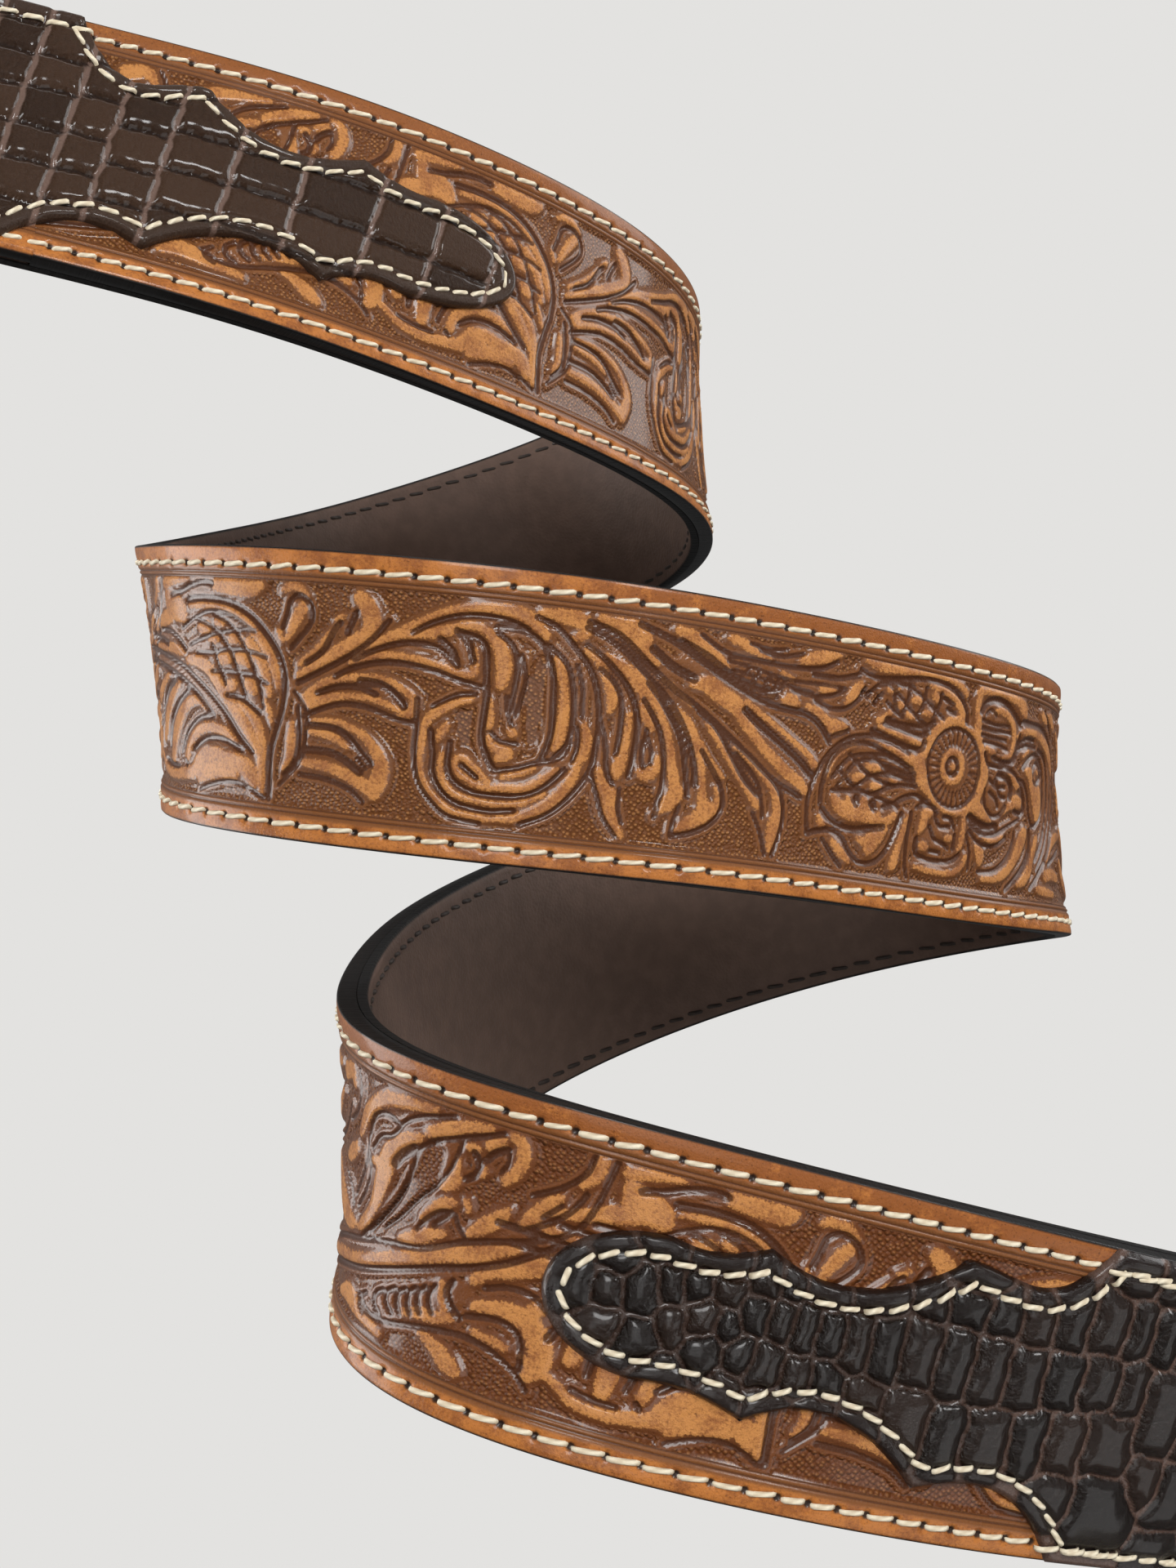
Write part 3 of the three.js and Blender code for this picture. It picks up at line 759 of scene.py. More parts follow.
RUNLINE = BeltRun()


def half_width(station: Array) -> Array:
    """Half the belt's width, which the rounded tip narrows as a blunt ellipse does.

    It is the full half width times the root of 1 less the square of the bluntness times the tip's share.

    Args:
        station: Where to measure it.

    Returns:
        The half width in mm.
    """
    u = np.clip((station - (TIP_STATION - TIP_ROUNDING)) / TIP_ROUNDING, 0, 1)
    return HALF_WIDTH * np.sqrt(1 - (TIP_BLUNTNESS * u) ** 2)


def flower_disc() -> dict[Layer, Strokes]:
    """Charts the flower's round middle: a button in two rings, and fine rays out to the disc's rim.

    Returns:
        The strokes of each layer, as points of phase, across and reach.
    """
    middle, button = (28.0, 2.2), (27.4, 2.4)
    turns = np.radians(np.arange(0, 361, 30))
    ring = [(button[0] + 2.05 * math.cos(t), button[1] + 2.05 * math.sin(t), 0.5) for t in turns]
    groove = [(button[0] + 1.2 * math.cos(t), button[1] + 1.2 * math.sin(t), 0.28) for t in turns]
    rim = [(middle[0] + 5.6 * math.cos(t), middle[1] + 5.6 * math.sin(t), 0.22) for t in turns]
    rays = [
        [(middle[0] + r * math.cos(t), middle[1] + r * math.sin(t), 0.11) for r in (3.2, 5.3)]
        for t in np.radians(np.arange(0, 360, 13))
    ]
    dot = [(*button, 0.45), (button[0] + 0.1, button[1], 0.45)]
    return {Layer.CREST: [ring, dot], Layer.CUT: [groove, rim, *rays]}


@dataclass
class TooledFace:
    """Signed distances, in mm, from the points of a belt grid to the charted strokes."""

    stations: Array
    across: Array
    margin: float = 2.5  # How far from a stroke its distances are worked out
    ground: float = -0.52  # Level of the matted ground against the border
    leaf_rise: float = 0.38  # How far a leaf stands out of the ground
    crest_rise: float = 0.17  # How far a crest stands out of its leaf
    cut_depth: float = 0.36
    past_crest: float = 0.65  # How far a leaf reaches past its crests
    past_cut: float = 0.5  # How far it reaches past its cuts

    def __post_init__(self) -> None:
        """Tools the whole chart into the grid."""
        self.fields = {layer: np.full((len(self.stations), len(self.across)), FAR) for layer in Layer}
        for placing in PLACINGS:
            self.strike(placing)

    def strike(self, placing: Placing) -> None:
        """Tools one impression of the chart.

        Args:
            placing: Where it falls, and which motifs it has.
        """
        phases, struck = np.array(placing.stretch, float).T
        for layer in Layer:
            strokes = [stroke for motif in placing.motifs for stroke in read_strokes(layer, motif)]
            if "flower" in placing.motifs:
                strokes += flower_disc().get(layer, [])
            for line in map(smooth_line, strokes):
                if line[:, 0].mean() < placing.first_phase:
                    continue
                line[:, 0] = placing.anchor + np.interp(line[:, 0], phases, struck)
                line[:, 1] *= -1 if placing.flipped else 1
                self.draw(layer, line)

    def draw(self, layer: Layer, line: Array) -> None:
        """Lowers a layer's distances round one stroke.

        Near each straight piece the distance is that to the piece less the stroke's reach there.

        Args:
            layer: Which layer.
            line: The stroke's points of station, across and reach.
        """
        field = self.fields[layer]
        for a, b in zip(line[:-1], line[1:]):
            margin = max(a[2], b[2]) + self.margin
            low, high = np.minimum(a, b) - margin, np.maximum(a, b) + margin
            rows = slice(*np.searchsorted(self.stations, [low[0], high[0]]))
            columns = slice(*np.searchsorted(self.across, [low[1], high[1]]))
            x = (self.stations[rows] - a[0])[:, None]
            y = (self.across[columns] - a[1])[None, :]
            dx, dy = b[0] - a[0], b[1] - a[1]
            share = np.clip((x * dx + y * dy) / (dx * dx + dy * dy + 1e-9), 0, 1)
            away = np.hypot(x - share * dx, y - share * dy) - (a[2] + (b[2] - a[2]) * share)
            np.minimum(field[rows, columns], away, out=field[rows, columns])

    def leaf(self) -> Array:
        """Distance to the raised leaves: near a crest, near a cut or in a body, and out of the pits."""
        fields = self.fields
        near = [fields[Layer.CREST] - self.past_crest, fields[Layer.CUT] - self.past_cut, fields[Layer.BODY]]
        return np.maximum(np.minimum.reduce(near), -fields[Layer.PIT])

    def relief(self) -> Array:
        """Level of the tooled face against the belt's border, in mm."""
        crest, cut, leaf = self.fields[Layer.CREST], self.fields[Layer.CUT], self.leaf()
        raised = self.leaf_rise * passage(leaf, 0.6) + self.crest_rise * passage(crest - 0.1, 0.8)
        return self.ground + raised - self.cut_depth * passage(cut, 0.45)


# The edge stitches of each side, 1 for the upper one: where each stretch of them begins, and its pitch
STITCH_STRETCHES = {
    1: ((10, 3.25), (62, 3.65), (84, 4.12), (178, 4.0), (390, 4.1), (575, 3.9), (780, 3.8), (850, 3.3)),
    -1: ((10, 3.3), (62, 3.8), (84, 4.25), (178, 4.2), (390, 4.1), (575, 4.1), (780, 4.0), (850, 3.5)),
}
LAST_STITCH = 1064.0


def stitch_middles(side: int) -> tuple[Array, Array]:
    """Spaces the stitches of one edge, as the hand did.

    Args:
        side: 1 for the upper edge, and -1 for the lower one.

    Returns:
        Stations of the stitches' middles, and the distance from stitch to stitch at each.
    """
    middles, pitches = [], []
    stretches = STITCH_STRETCHES[side]
    for (first, pitch), (last, _) in zip(stretches, [*stretches[1:], (LAST_STITCH, 0)]):
        count = round((last - first) / pitch)
        middles.append(first + (np.arange(count) + 0.5) * (last - first) / count)
        pitches.append(np.full(count, pitch))
    return np.concatenate(middles), np.concatenate(pitches)


def grid_faces(rows: int, columns: int, closed: bool = False) -> Array:
    """Joins a grid of points with quads whose faces point to the right of its rows times its columns.

    Args:
        rows: How many rows of points, along the first parameter.
        columns: How many columns of points, along the second one.
        closed: Whether the last column is joined to the first.

    Returns:
        The corners of the quads, a row each.
    """
    row = np.arange(rows - 1)[:, None]
    column = np.arange(columns if closed else columns - 1)[None, :]
    after = (column + 1) % columns
    here, below = row * columns, (row + 1) * columns
    return np.stack([here + column, below + column, below + after, here + after], axis=-1).reshape(-1, 4)


def grid_normals(points: Array) -> Array:
    """Gives the normals of a grid whose columns run round, as the cross product of its two differences.

    Args:
        points: The grid, with a last axis of three.

    Returns:
        The unit normals.
    """
    across = np.roll(points, -1, axis=1) - np.roll(points, 1, axis=1)
    normal = np.cross(np.gradient(points, axis=0), across)
    return normal / np.maximum(np.linalg.norm(normal, axis=-1, keepdims=True), 1e-12)


def closed_sheet(top: Array, bottom: Array, keep: Array) -> tuple[Array, Array]:
    """Makes a closed sheet of two grids, with walls round its outline and round its holes.

    Args:
        top: Grid of points of the front face.
        bottom: Grid of the same shape for the back face.
        keep: Which of the grid's cells are there.

    Returns:
        The points of both grids in rows, and the corners of the quads.
    """
    rows, columns = top.shape[:2]
    index = np.arange(rows * columns).reshape(rows, columns)
    under = rows * columns
    front = grid_faces(rows, columns)[keep.ravel()]
    faces = [front, front[:, ::-1] + under]
    padded = np.pad(keep, 1)
    along = (padded[1:-1, :-1], padded[1:-1, 1:], 1, 0)
    aside = (padded[:-1, 1:-1], padded[1:, 1:-1], 0, 1)
    for before, after, down, right in (along, aside):
        for start, turned in ((after & ~before, right), (before & ~after, down)):
            i, j = np.nonzero(start)
            a, b = index[i, j], index[i + down, j + right]
            wall = np.stack([a, a + under, b + under, b], axis=1)
            faces.append(wall[:, ::-1] if turned else wall)
    return np.concatenate([top.reshape(-1, 3), bottom.reshape(-1, 3)]), np.concatenate(faces)


def punch(station: Array, across: Array, cell: float) -> tuple[Array, Array, Array]:
    """Draws the grid's lines round the punched holes.

    In a square block round each hole the lines change from squares, at the block's edge, to the hole's
    circle, at the innermost square that is kept.

    Args:
        station: Grid of stations, with lines at whole cells from each hole's middle.
        across: Grid of distances across, with lines at whole cells from the middle.
        cell: Size of the grid's cells near the holes.

    Returns:
        The changed stations and distances, and which cells are left.
    """
    block, inner = BLOCK_CELLS * cell, HOLE_CELLS * cell
    station, across = station.copy(), across.copy()
    keep = np.ones((station.shape[0] - 1, station.shape[1] - 1), bool)
    for middle in HOLE_STATIONS:
        x, y = station - middle, across.copy()
        square = np.maximum(np.abs(x), np.abs(y))
        near = square < block - 1e-6
        hole = square < inner - 1e-6
        keep &= ~(hole[:-1, :-1] | hole[1:, :-1] | hole[:-1, 1:] | hole[1:, 1:])
        blend = np.clip((square - inner) / (block - inner), 0, 1)
        scale = (1 - blend) * HOLE_RADIUS / np.maximum(np.hypot(x, y), 1e-6) + blend
        station = np.where(near, middle + x * scale, station)
        across = np.where(near, y * scale, across)
    return station, across, keep


def block_lines(cell: float) -> Array:
    """Places of a grid's lines round a hole's middle, at whole cells."""
    return np.arange(-BLOCK_CELLS, BLOCK_CELLS + 1) * cell


def lines_with_holes(first: float, step: float, cell: float) -> Array:
    """Spaces a grid's stations evenly up to the tip, with close lines at whole cells round each hole.

    Args:
        first: The first station.
        step: Spacing away from the holes.
        cell: Spacing round the holes.

    Returns:
        The rising stations, closer and closer where the belt narrows.
    """
    lines = np.linspace(first, TIP_STATION, round((TIP_STATION - first) / step) + 1)
    turn = np.linspace(0, math.asin(TIP_BLUNTNESS), 26)
    narrowing = TIP_STATION - TIP_ROUNDING * (1 - np.sin(turn) / TIP_BLUNTNESS)
    lines = np.concatenate([lines[lines < narrowing[0] - 0.3 * step], narrowing])
    for middle in HOLE_STATIONS:
        away = np.abs(lines - middle) > BLOCK_CELLS * cell + 0.3 * step
        lines = np.concatenate([lines[away], middle + block_lines(cell)])
    return np.unique(lines)


class Piece:
    """A mesh of the belt, from arrays to a finished object that rides on the belt's body."""

    def __init__(self, name: str, points: Array, faces: Sequence[Array]) -> None:
        """Makes the mesh and its object.

        Args:
            name: Name of the object.
            points: Points in mm, a row each.
            faces: Arrays of corners, each with its own number of corners to a face.
        """
        mesh = bpy.data.meshes.new(name)
        corners = np.concatenate([group.ravel() for group in faces]).astype(np.int32)
        sizes = np.concatenate([np.full(len(group), group.shape[1]) for group in faces])
        starts = np.concatenate([[0], np.cumsum(sizes)[:-1]]).astype(np.int32)
        mesh.vertices.add(len(points))
        mesh.vertices.foreach_set("co", (points * MILLIMETRE).astype(np.float32).ravel())
        mesh.loops.add(len(corners))
        mesh.loops.foreach_set("vertex_index", corners)
        mesh.polygons.add(len(sizes))
        mesh.polygons.foreach_set("loop_start", starts)
        mesh.update(calc_edges=True)
        mesh.polygons.foreach_set("use_smooth", np.ones(len(sizes), bool))
        self.mesh, self.corners = mesh, corners
        self.object = bpy.data.objects.new(name, mesh)
        bpy.context.scene.collection.objects.link(self.object)

    @classmethod
    def sheet(
        cls, name: str, sides: Sequence[Array], keep: Array, station: Array, across: Array, **notes: Array
    ) -> "Piece":
        """Makes a closed sheet, without the points that no face uses.

        Args:
            name: Name of the object.
            sides: Grids of points of its front and its back.
            keep: Which of the grids' cells are there.
            station: Stations of the grid, for its map.
            across: Distances across of the grid, for its map.
            notes: Numbers of the grid that the mesh stores.

        Returns:
            The piece.
        """
        points, faces = closed_sheet(*sides, keep)
        used = np.zeros(len(points), bool)
        used[faces.ravel()] = True
        piece = cls(name, points[used], [(np.cumsum(used) - 1)[faces]])
        piece.map_belt(*(np.tile(grid.ravel(), 2)[used] for grid in (station, across)))
        for note, values in notes.items():
            piece.note(note, np.tile(values.ravel(), 2)[used])
        piece.shade()
        return piece

    def map_belt(self, station: Array, across: Array) -> None:
        """Gives the mesh a UV map in mm of the belt.

        Args:
            station: Station of each point.
            across: Distance across of each point.
        """
        layer = self.mesh.uv_layers.new(name="belt")
        pairs = np.stack([station, across], axis=1)[self.corners]
        layer.data.foreach_set("uv", pairs.astype(np.float32).ravel())

    def note(self, name: str, values: Array) -> None:
        """Stores a number for each point.

        Args:
            name: Name of the attribute.
            values: The numbers.
        """
        attribute = self.mesh.attributes.new(name, "FLOAT", "POINT")
        attribute.data.foreach_set("value", values.astype(np.float32))

    def shade(self, normals: Array | None = None, sharp: float = 50.0) -> None:
        """Sets how the mesh is shaded: by given normals, or smooth up to an angle.

        Args:
            normals: A unit normal for each point, or None.
            sharp: The angle in degrees past which an edge stays sharp.
        """
        if normals is None:
            self.mesh.set_sharp_from_angle(angle=math.radians(sharp))
        else:
            self.mesh.normals_split_custom_set_from_vertices(normals.astype(np.float32))

    def finish(self, material: Material, slot: str, *nodes: str) -> None:
        """Dresses the piece and ties it to the frame.

        Args:
            material: Its finish.
            slot: The record's slot of that finish; it is not used.
            nodes: CAD nodes that it stands for.
        """
        self.mesh.materials.append(material)
        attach(self.object, BODY)
        if nodes:
            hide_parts(*nodes)
        self.mesh.calc_loop_triangles()
        LOG.info("%s: %d triangles", self.object.name, len(self.mesh.loop_triangles))


class Sum:
    """A value in a node tree, with arithmetic written as in Python."""

    def __init__(self, tree: "Nodes", socket: bpy.types.NodeSocket) -> None:
        """Wraps a socket of a tree."""
        self.tree, self.socket = tree, socket

    def math(self, operation: str, *values: "Sum | float", swap: bool = False) -> "Sum":
        """Adds a Math node on this value.

        Args:
            operation: The node's operation.
            values: Its other operands.
            swap: Whether this value comes second.

        Returns:
            The result.
        """
        operands = [self, *values]
        if swap:
            operands.reverse()
        return self.tree.add("ShaderNodeMath", {"operation": operation}, dict(enumerate(operands)))

    def __add__(self, other: "Sum | float") -> "Sum":
        """This plus other."""
        return self.math("ADD", other)

    __radd__ = __add__

    def __mul__(self, other: "Sum | float") -> "Sum":
        """This times other."""
        return self.math("MULTIPLY", other)

    __rmul__ = __mul__

    def __sub__(self, other: "Sum | float") -> "Sum":
        """This less other."""
        return self.math("SUBTRACT", other)

    def __rsub__(self, other: float) -> "Sum":
        """Other less this."""
        return self.math("SUBTRACT", other, swap=True)

    def __abs__(self) -> "Sum":
        """This without its sign."""
        return self.math("ABSOLUTE")

    def wave(self) -> "Sum":
        """The sine of this."""
        return self.math("SINE")

    def inside(self, width: float) -> "Sum":
        """Eases from 1 where this distance is negative to 0, over a width."""
        return self.between(width / 2, -width / 2)

    def between(self, low: float, high: float) -> "Sum":
        """Eases from 0 at a low value of this to 1 at a high one, or the other way round.

        Args:
            low: Where it is 0.
            high: Where it is 1.

        Returns:
            The smooth step: three times the square of the share, less twice its cube.
        """
        settings = {"interpolation_type": "SMOOTHSTEP"}
        ends = {"From Min": low, "From Max": high, "To Min": 0.0, "To Max": 1.0}
        return self.tree.add("ShaderNodeMapRange", settings, {"Value": self, **ends})


def colour(*parts: float) -> Colour:
    """Turns a colour as seen on a screen into Blender's linear one.

    Args:
        parts: Its red, green and blue, from 0 to 255.

    Returns:
        The linear colour with its alpha.
    """
    shares = [part / 255 for part in parts]
    linear = [part / 12.92 if part <= 0.04045 else ((part + 0.055) / 1.055) ** 2.4 for part in shares]
    return (*linear, 1.0)


class Nodes:
    """A material's node tree, with one method that adds any node."""

    def __init__(self, name: str) -> None:
        """Starts a material with a Principled shader.

        Args:
            name: Name of the material.
        """
        self.material = bpy.data.materials.new(name)
        self.material.use_nodes = True
        self.tree = self.material.node_tree
        self.tree.nodes.clear()
        self.shader = self.tree.nodes.new("ShaderNodeBsdfPrincipled")
        output = self.tree.nodes.new("ShaderNodeOutputMaterial")
        self.tree.links.new(self.shader.outputs["BSDF"], output.inputs["Surface"])

    def feed(self, socket: bpy.types.NodeSocket, value: object) -> None:
        """Links a value to a socket, or sets it there.

        Args:
            socket: The input socket.
            value: A Sum, a number or a colour.
        """
        if isinstance(value, Sum):
            self.tree.links.new(value.socket, socket)
        else:
            socket.default_value = value

    def add(self, kind: str, settings: dict, inputs: dict, output: int | str = 0) -> Sum:
        """Adds a node.

        Args:
            kind: The node's type.
            settings: Its settings, which are set first.
            inputs: The values or links of its sockets, by name or number.
            output: Which output to give.

        Returns:
            The output.
        """
        node = self.tree.nodes.new(kind)
        for name, value in settings.items():
            setattr(node, name, value)
        for name, value in inputs.items():
            self.feed(node.inputs[name], value)
        return Sum(self, node.outputs[output])

    def attribute(self, name: str) -> Sum:
        """Reads a number that the mesh stores for each point."""
        return self.add("ShaderNodeAttribute", {"attribute_name": name}, {}, "Fac")

    def belt_map(self, *scale: float, turn: float = 0.0) -> Sum:
        """Gives the belt's own coordinates in mm, times a scale along and across, then turned.

        Args:
            scale: The two scales, or nothing for 1.
            turn: The turn in radians.

        Returns:
            The coordinates.
        """
        place = self.add("ShaderNodeUVMap", {"uv_map": "belt"}, {})
        inputs = {"Vector": place, "Scale": (*(scale or (1, 1)), 1), "Rotation": (0, 0, turn)}
        return self.add("ShaderNodeMapping", {}, inputs)

    def part(self, vector: Sum, axis: int) -> Sum:
        """Gives one part of a vector."""
        return self.add("ShaderNodeSeparateXYZ", {}, {0: vector}, axis)

    def noise(self, vector: Sum, scale: float, detail: float = 2.0, roughness: float = 0.5) -> Sum:
        """Adds smooth noise, with its marks about 1 / scale wide."""
        inputs = {"Vector": vector, "Scale": scale, "Detail": detail, "Roughness": roughness}
        return self.add("ShaderNodeTexNoise", {}, inputs, "Fac")

    def cells(self, vector: Sum, scale: float, feature: str = "F1", jitter: float = 1.0) -> Sum:
        """Adds cells about 1 / scale wide, and gives the distance that the feature names."""
        inputs = {"Vector": vector, "Scale": scale, "Randomness": jitter}
        return self.add("ShaderNodeTexVoronoi", {"feature": feature}, inputs, "Distance")

    def mix(self, share: Sum | float, first: object, second: object) -> Sum:
        """Mixes two colours."""
        return self.add("ShaderNodeMix", {"data_type": "RGBA"}, {0: share, 6: first, 7: second}, 2)

    def bump(self, height: Sum, depth: float) -> Sum:
        """Turns a height from 0 to 1 into a normal, for a depth in mm."""
        inputs = {"Height": height, "Distance": depth * MILLIMETRE, "Strength": 1.0}
        return self.add("ShaderNodeBump", {}, inputs)

    def surface(self, **sockets: object) -> Material:
        """Feeds the shader and gives the finished material."""
        for name, value in sockets.items():
            self.feed(self.shader.inputs[name.replace("_", " ")], value)
        return self.material


@dataclass(frozen=True)
class TooledLeather:
    """Veg-tanned leather with tan crests, dark antiqued leaves and a pebbled ground."""

    tan: Colour = colour(192, 130, 70)
    deep_tan: Colour = colour(148, 91, 48)
    border: Colour = colour(178, 110, 50)
    deep_border: Colour = colour(140, 81, 36)
    leaf: Colour = colour(120, 73, 36)
    cut: Colour = colour(66, 32, 10)
    ground: Colour = colour(104, 60, 27)
    pebble: Colour = colour(160, 109, 64)
    tipward_dark: Colour = colour(92, 42, 10)  # What the dark parts turn to towards the tip
    edge: Colour = colour(17, 15, 14)

    def material(self) -> Material:
        """Builds the material."""
        n = Nodes("tooled_leather")
        place = n.belt_map()
        along, across = n.part(place, 0), n.part(place, 1)
        off_middle = abs(across)
        crest, cut, leaf, hole = (n.attribute(name) for name in ("crest", "cut", "leaf", "hole"))
        speckle = n.noise(place, 4.5, 3.0, 0.6)
        fleck = n.noise(place, 2.2, 4.0, 0.65)
        patch = n.noise(place, 0.3, 3.0)
        grain = n.cells(place, 2.6)
        pebble = n.cells(n.belt_map(1.0, 1.12, turn=0.55), 1.7, jitter=0.55)
        in_crest = (crest + fleck * 1.3 - 0.72).inside(0.25)
        in_leaf = (leaf + speckle * 0.2 - 0.1).inside(0.25)
        in_cut = (cut + fleck * 0.4 - 0.3).inside(0.2)
        outline = (abs(crest - 0.42) - 0.2 + fleck * 0.3 - 0.15).inside(0.3)
        in_field = (off_middle - FIELD_HALF).inside(0.12)
        tops = (pebble - 0.33).inside(0.3)
        ground = n.mix(tops * (0.45 + patch), self.ground, self.pebble)
        leaf_colour = n.mix(patch.between(0.35, 0.7) * 0.5, self.leaf, self.ground)
        tan = n.mix((patch * 0.5 + fleck * 0.5).between(0.42, 0.62), self.tan, self.deep_tan)
        dots = speckle * 0.5 + fleck * 0.5
        tan = n.mix(dots.between(0.53, 0.66) * 0.7, tan, self.leaf)
        field = n.mix(in_leaf, ground, leaf_colour)
        field = n.mix(outline * 0.3, field, self.cut)
        # From station 760 to 800 the field's ground and leaves turn darker and redder.
        field = n.mix(along.between(760, 800) * 0.45, field, self.tipward_dark)
        field = n.mix(in_crest, field, tan)
        field = n.mix(in_cut * 0.88, field, self.cut)
        # Painted shade: the upper half of the border is painted darker and with more dark specks, except
        # round stations 395 to 455. Up to stations 180 to 380 it is also mixed towards the leaf colour.
        upper_painted_shade = across.between(0.0, 1.0) * (1 - along.between(380, 395) * (1 - along.between(455, 495)))
        mottle = (patch * 0.6 + fleck * 0.4 + upper_painted_shade * 0.14).between(0.42, 0.62)
        border = n.mix(mottle, self.border, self.deep_border)
        border = n.mix(upper_painted_shade * (1 - along.between(180, 380)) * 0.3, border, self.leaf)
        border = n.mix(dots.between(0.54, 0.66) * (0.5 + upper_painted_shade * 0.25), border, self.cut)
        border = n.mix((off_middle + fleck * 0.5 - FIELD_HALF - 1.6).inside(0.5), border, self.leaf)
        lines = (abs(abs(off_middle - FIELD_HALF - 0.45) - 0.32) - 0.1).inside(0.2)
        border = n.mix(lines * 0.8, border, self.cut)
        # Painted shade: the stitch holes are painted near black, in the edge paint's colour.
        border = n.mix((hole - 0.5).inside(0.35) * 0.95, border, self.edge)
        base = n.mix(in_field, border, field)
        base = n.mix(off_middle.between(18.55, 18.85), base, self.edge)
        matted = (1 - in_leaf) * in_field * (0.7 - pebble) * 2.2
        height = grain * 0.2 + speckle * 0.35 + matted + in_crest * speckle * 0.4
        roughness = 0.4 + speckle * 0.2 - in_field * (1 - in_crest) * 0.06
        return n.surface(
            Base_Color=base, Roughness=roughness, Normal=n.bump(height, 0.24), Specular_IOR_Level=0.2,
            Coat_Weight=0.22 + in_field * (1 - in_crest) * 0.16, Coat_Roughness=0.15,
        )


@dataclass(frozen=True)
class ReptileLeather:
    """Leather embossed with glossy scales between lighter grooves."""

    name: str
    scale: Colour
    worn: Colour  # The paler scales
    groove: Colour  # The grooves across the belt
    crease: Colour  # Those along it
    rim: Colour  # Outside the stitches
    gloss: float  # Roughness of the scales' tops
    coat: float  # Weight of their polished coat
    polish: float  # Roughness of that coat
    shine: float  # Reflectance of the leather under it
    shade_until: float  # Station up to which the grooves are darkened with painted shade

    def material(self) -> Material:
        """Builds the material."""
        n = Nodes(self.name)
        place = n.belt_map()
        gap, way, tint, rim = (n.attribute(name) for name in ("gap", "way", "tint", "rim"))
        speckle = n.noise(place, 3.5, 4.0, 0.6)
        wrinkle = n.noise(n.belt_map(1.7, 1.1), 1.0, 4.0, 0.6)
        between = (0.12 - gap - speckle * 0.3).inside(0.3)
        base = n.mix((tint * 0.6 + wrinkle * 0.7).between(0.35, 1.0), self.scale, self.worn)
        base = n.mix((rim + speckle * 0.6 - 2.0).inside(0.7) * 0.8, base, self.rim)
        furrow = n.mix(way, self.groove, self.crease)
        # Painted shade: before that station the grooves are painted darker, towards the scales' colour, as by
        # the black print's nose.
        past_painted_shade = n.part(place, 0).between(self.shade_until, self.shade_until + 30)
        furrow = n.mix(past_painted_shade * 0.55 + 0.45, self.scale, furrow)
        base = n.mix(between * 0.9, base, furrow)
        height = wrinkle * 0.9 + speckle * 0.4
        roughness = self.gloss + speckle * 0.2 + between * 0.2
        return n.surface(
            Base_Color=base, Roughness=roughness, Normal=n.bump(height, 0.42), Specular_IOR_Level=self.shine,
            Coat_Weight=self.coat, Coat_Roughness=self.polish,
        )


BROWN_REPTILE = ReptileLeather(
    "brown_reptile_leather", scale=colour(40, 23, 10), worn=colour(60, 40, 26), groove=colour(114, 92, 82),
    crease=colour(38, 26, 20), rim=colour(62, 47, 38), gloss=0.34, coat=0.42, polish=0.12, shine=0.12,
    shade_until=-50,
)
BLACK_REPTILE = ReptileLeather(
    "black_reptile_leather", scale=colour(16, 7, 3), worn=colour(36, 22, 14), groove=colour(92, 70, 60),
    crease=colour(86, 64, 54), rim=colour(26, 15, 11), gloss=0.12, coat=0.34, polish=0.16, shine=0.26,
    shade_until=855,
)


@dataclass(frozen=True)
class LiningLeather:
    """Smooth dark-brown leather of the belt's back."""

    face: Colour = colour(98, 79, 69)
    rubbed: Colour = colour(107, 86, 75)
    edge: Colour = colour(17, 15, 14)

    def material(self) -> Material:
        """Builds the material."""
        n = Nodes("lining_leather")
        place = n.belt_map()
        off_middle = abs(n.part(place, 1))
        patch = n.noise(place, 0.3, 4.0)
        grain = n.cells(place, 1.9, "SMOOTH_F1")
        pore = n.noise(place, 5.0, 3.0)
        base = n.mix(patch.between(0.35, 0.7), self.face, self.rubbed)
        base = n.mix(off_middle.between(18.4, 18.8), base, self.edge)
        bump = n.bump(grain * 0.8 + pore * 0.4, 0.12)
        return n.surface(Base_Color=base, Roughness=0.52 + pore * 0.2, Normal=bump, Specular_IOR_Level=0.25)


@dataclass(frozen=True)
class WaxedThread:
    """Twisted waxed thread."""

    name: str
    face: Colour
    shade: Colour
    twist: float = 9.0

    def material(self) -> Material:
        """Builds the material: strands wind round the stitch, whose map runs along and round it."""
        n = Nodes(self.name)
        place = n.belt_map()
        along, turn = n.part(place, 0), n.part(place, 1)
        strand = (along * self.twist + turn * 6.2832).wave() * 0.5 + 0.5
        fuzz = n.noise(n.add("ShaderNodeTexCoord", {}, {}, "Object"), 2500.0, 2.0)
        # Painted shade: the thread is painted darker in the grooves between its strands, and the fuzz varies
        # its tone at random.
        base = n.mix((1 - strand) * 0.35 + fuzz * 0.3, self.face, self.shade)
        bump = n.bump(strand, 0.12)
        return n.surface(Base_Color=base, Roughness=0.62, Normal=bump, Specular_IOR_Level=0.35)


@dataclass(frozen=True)
class BrushedSteel:
    """Nickel-grey steel with fine brushing."""

    face: Colour = colour(186, 182, 174)
    dull: Colour = colour(140, 136, 128)

    def material(self) -> Material:
        """Builds the material."""
        n = Nodes("buckle_steel")
        place = n.add("ShaderNodeTexCoord", {}, {}, "Object")
        stretched = n.add("ShaderNodeMapping", {}, {"Vector": place, "Scale": (400.0, 4000.0, 4000.0)})
        brush = n.noise(stretched, 1.0, 3.0)
        cloud = n.noise(place, 140.0, 3.0)
        base = n.mix(cloud.between(0.4, 0.75), self.face, self.dull)
        bump = n.bump(brush, 0.01)
        return n.surface(Base_Color=base, Metallic=1.0, Roughness=0.24 + cloud * 0.16, Normal=bump)


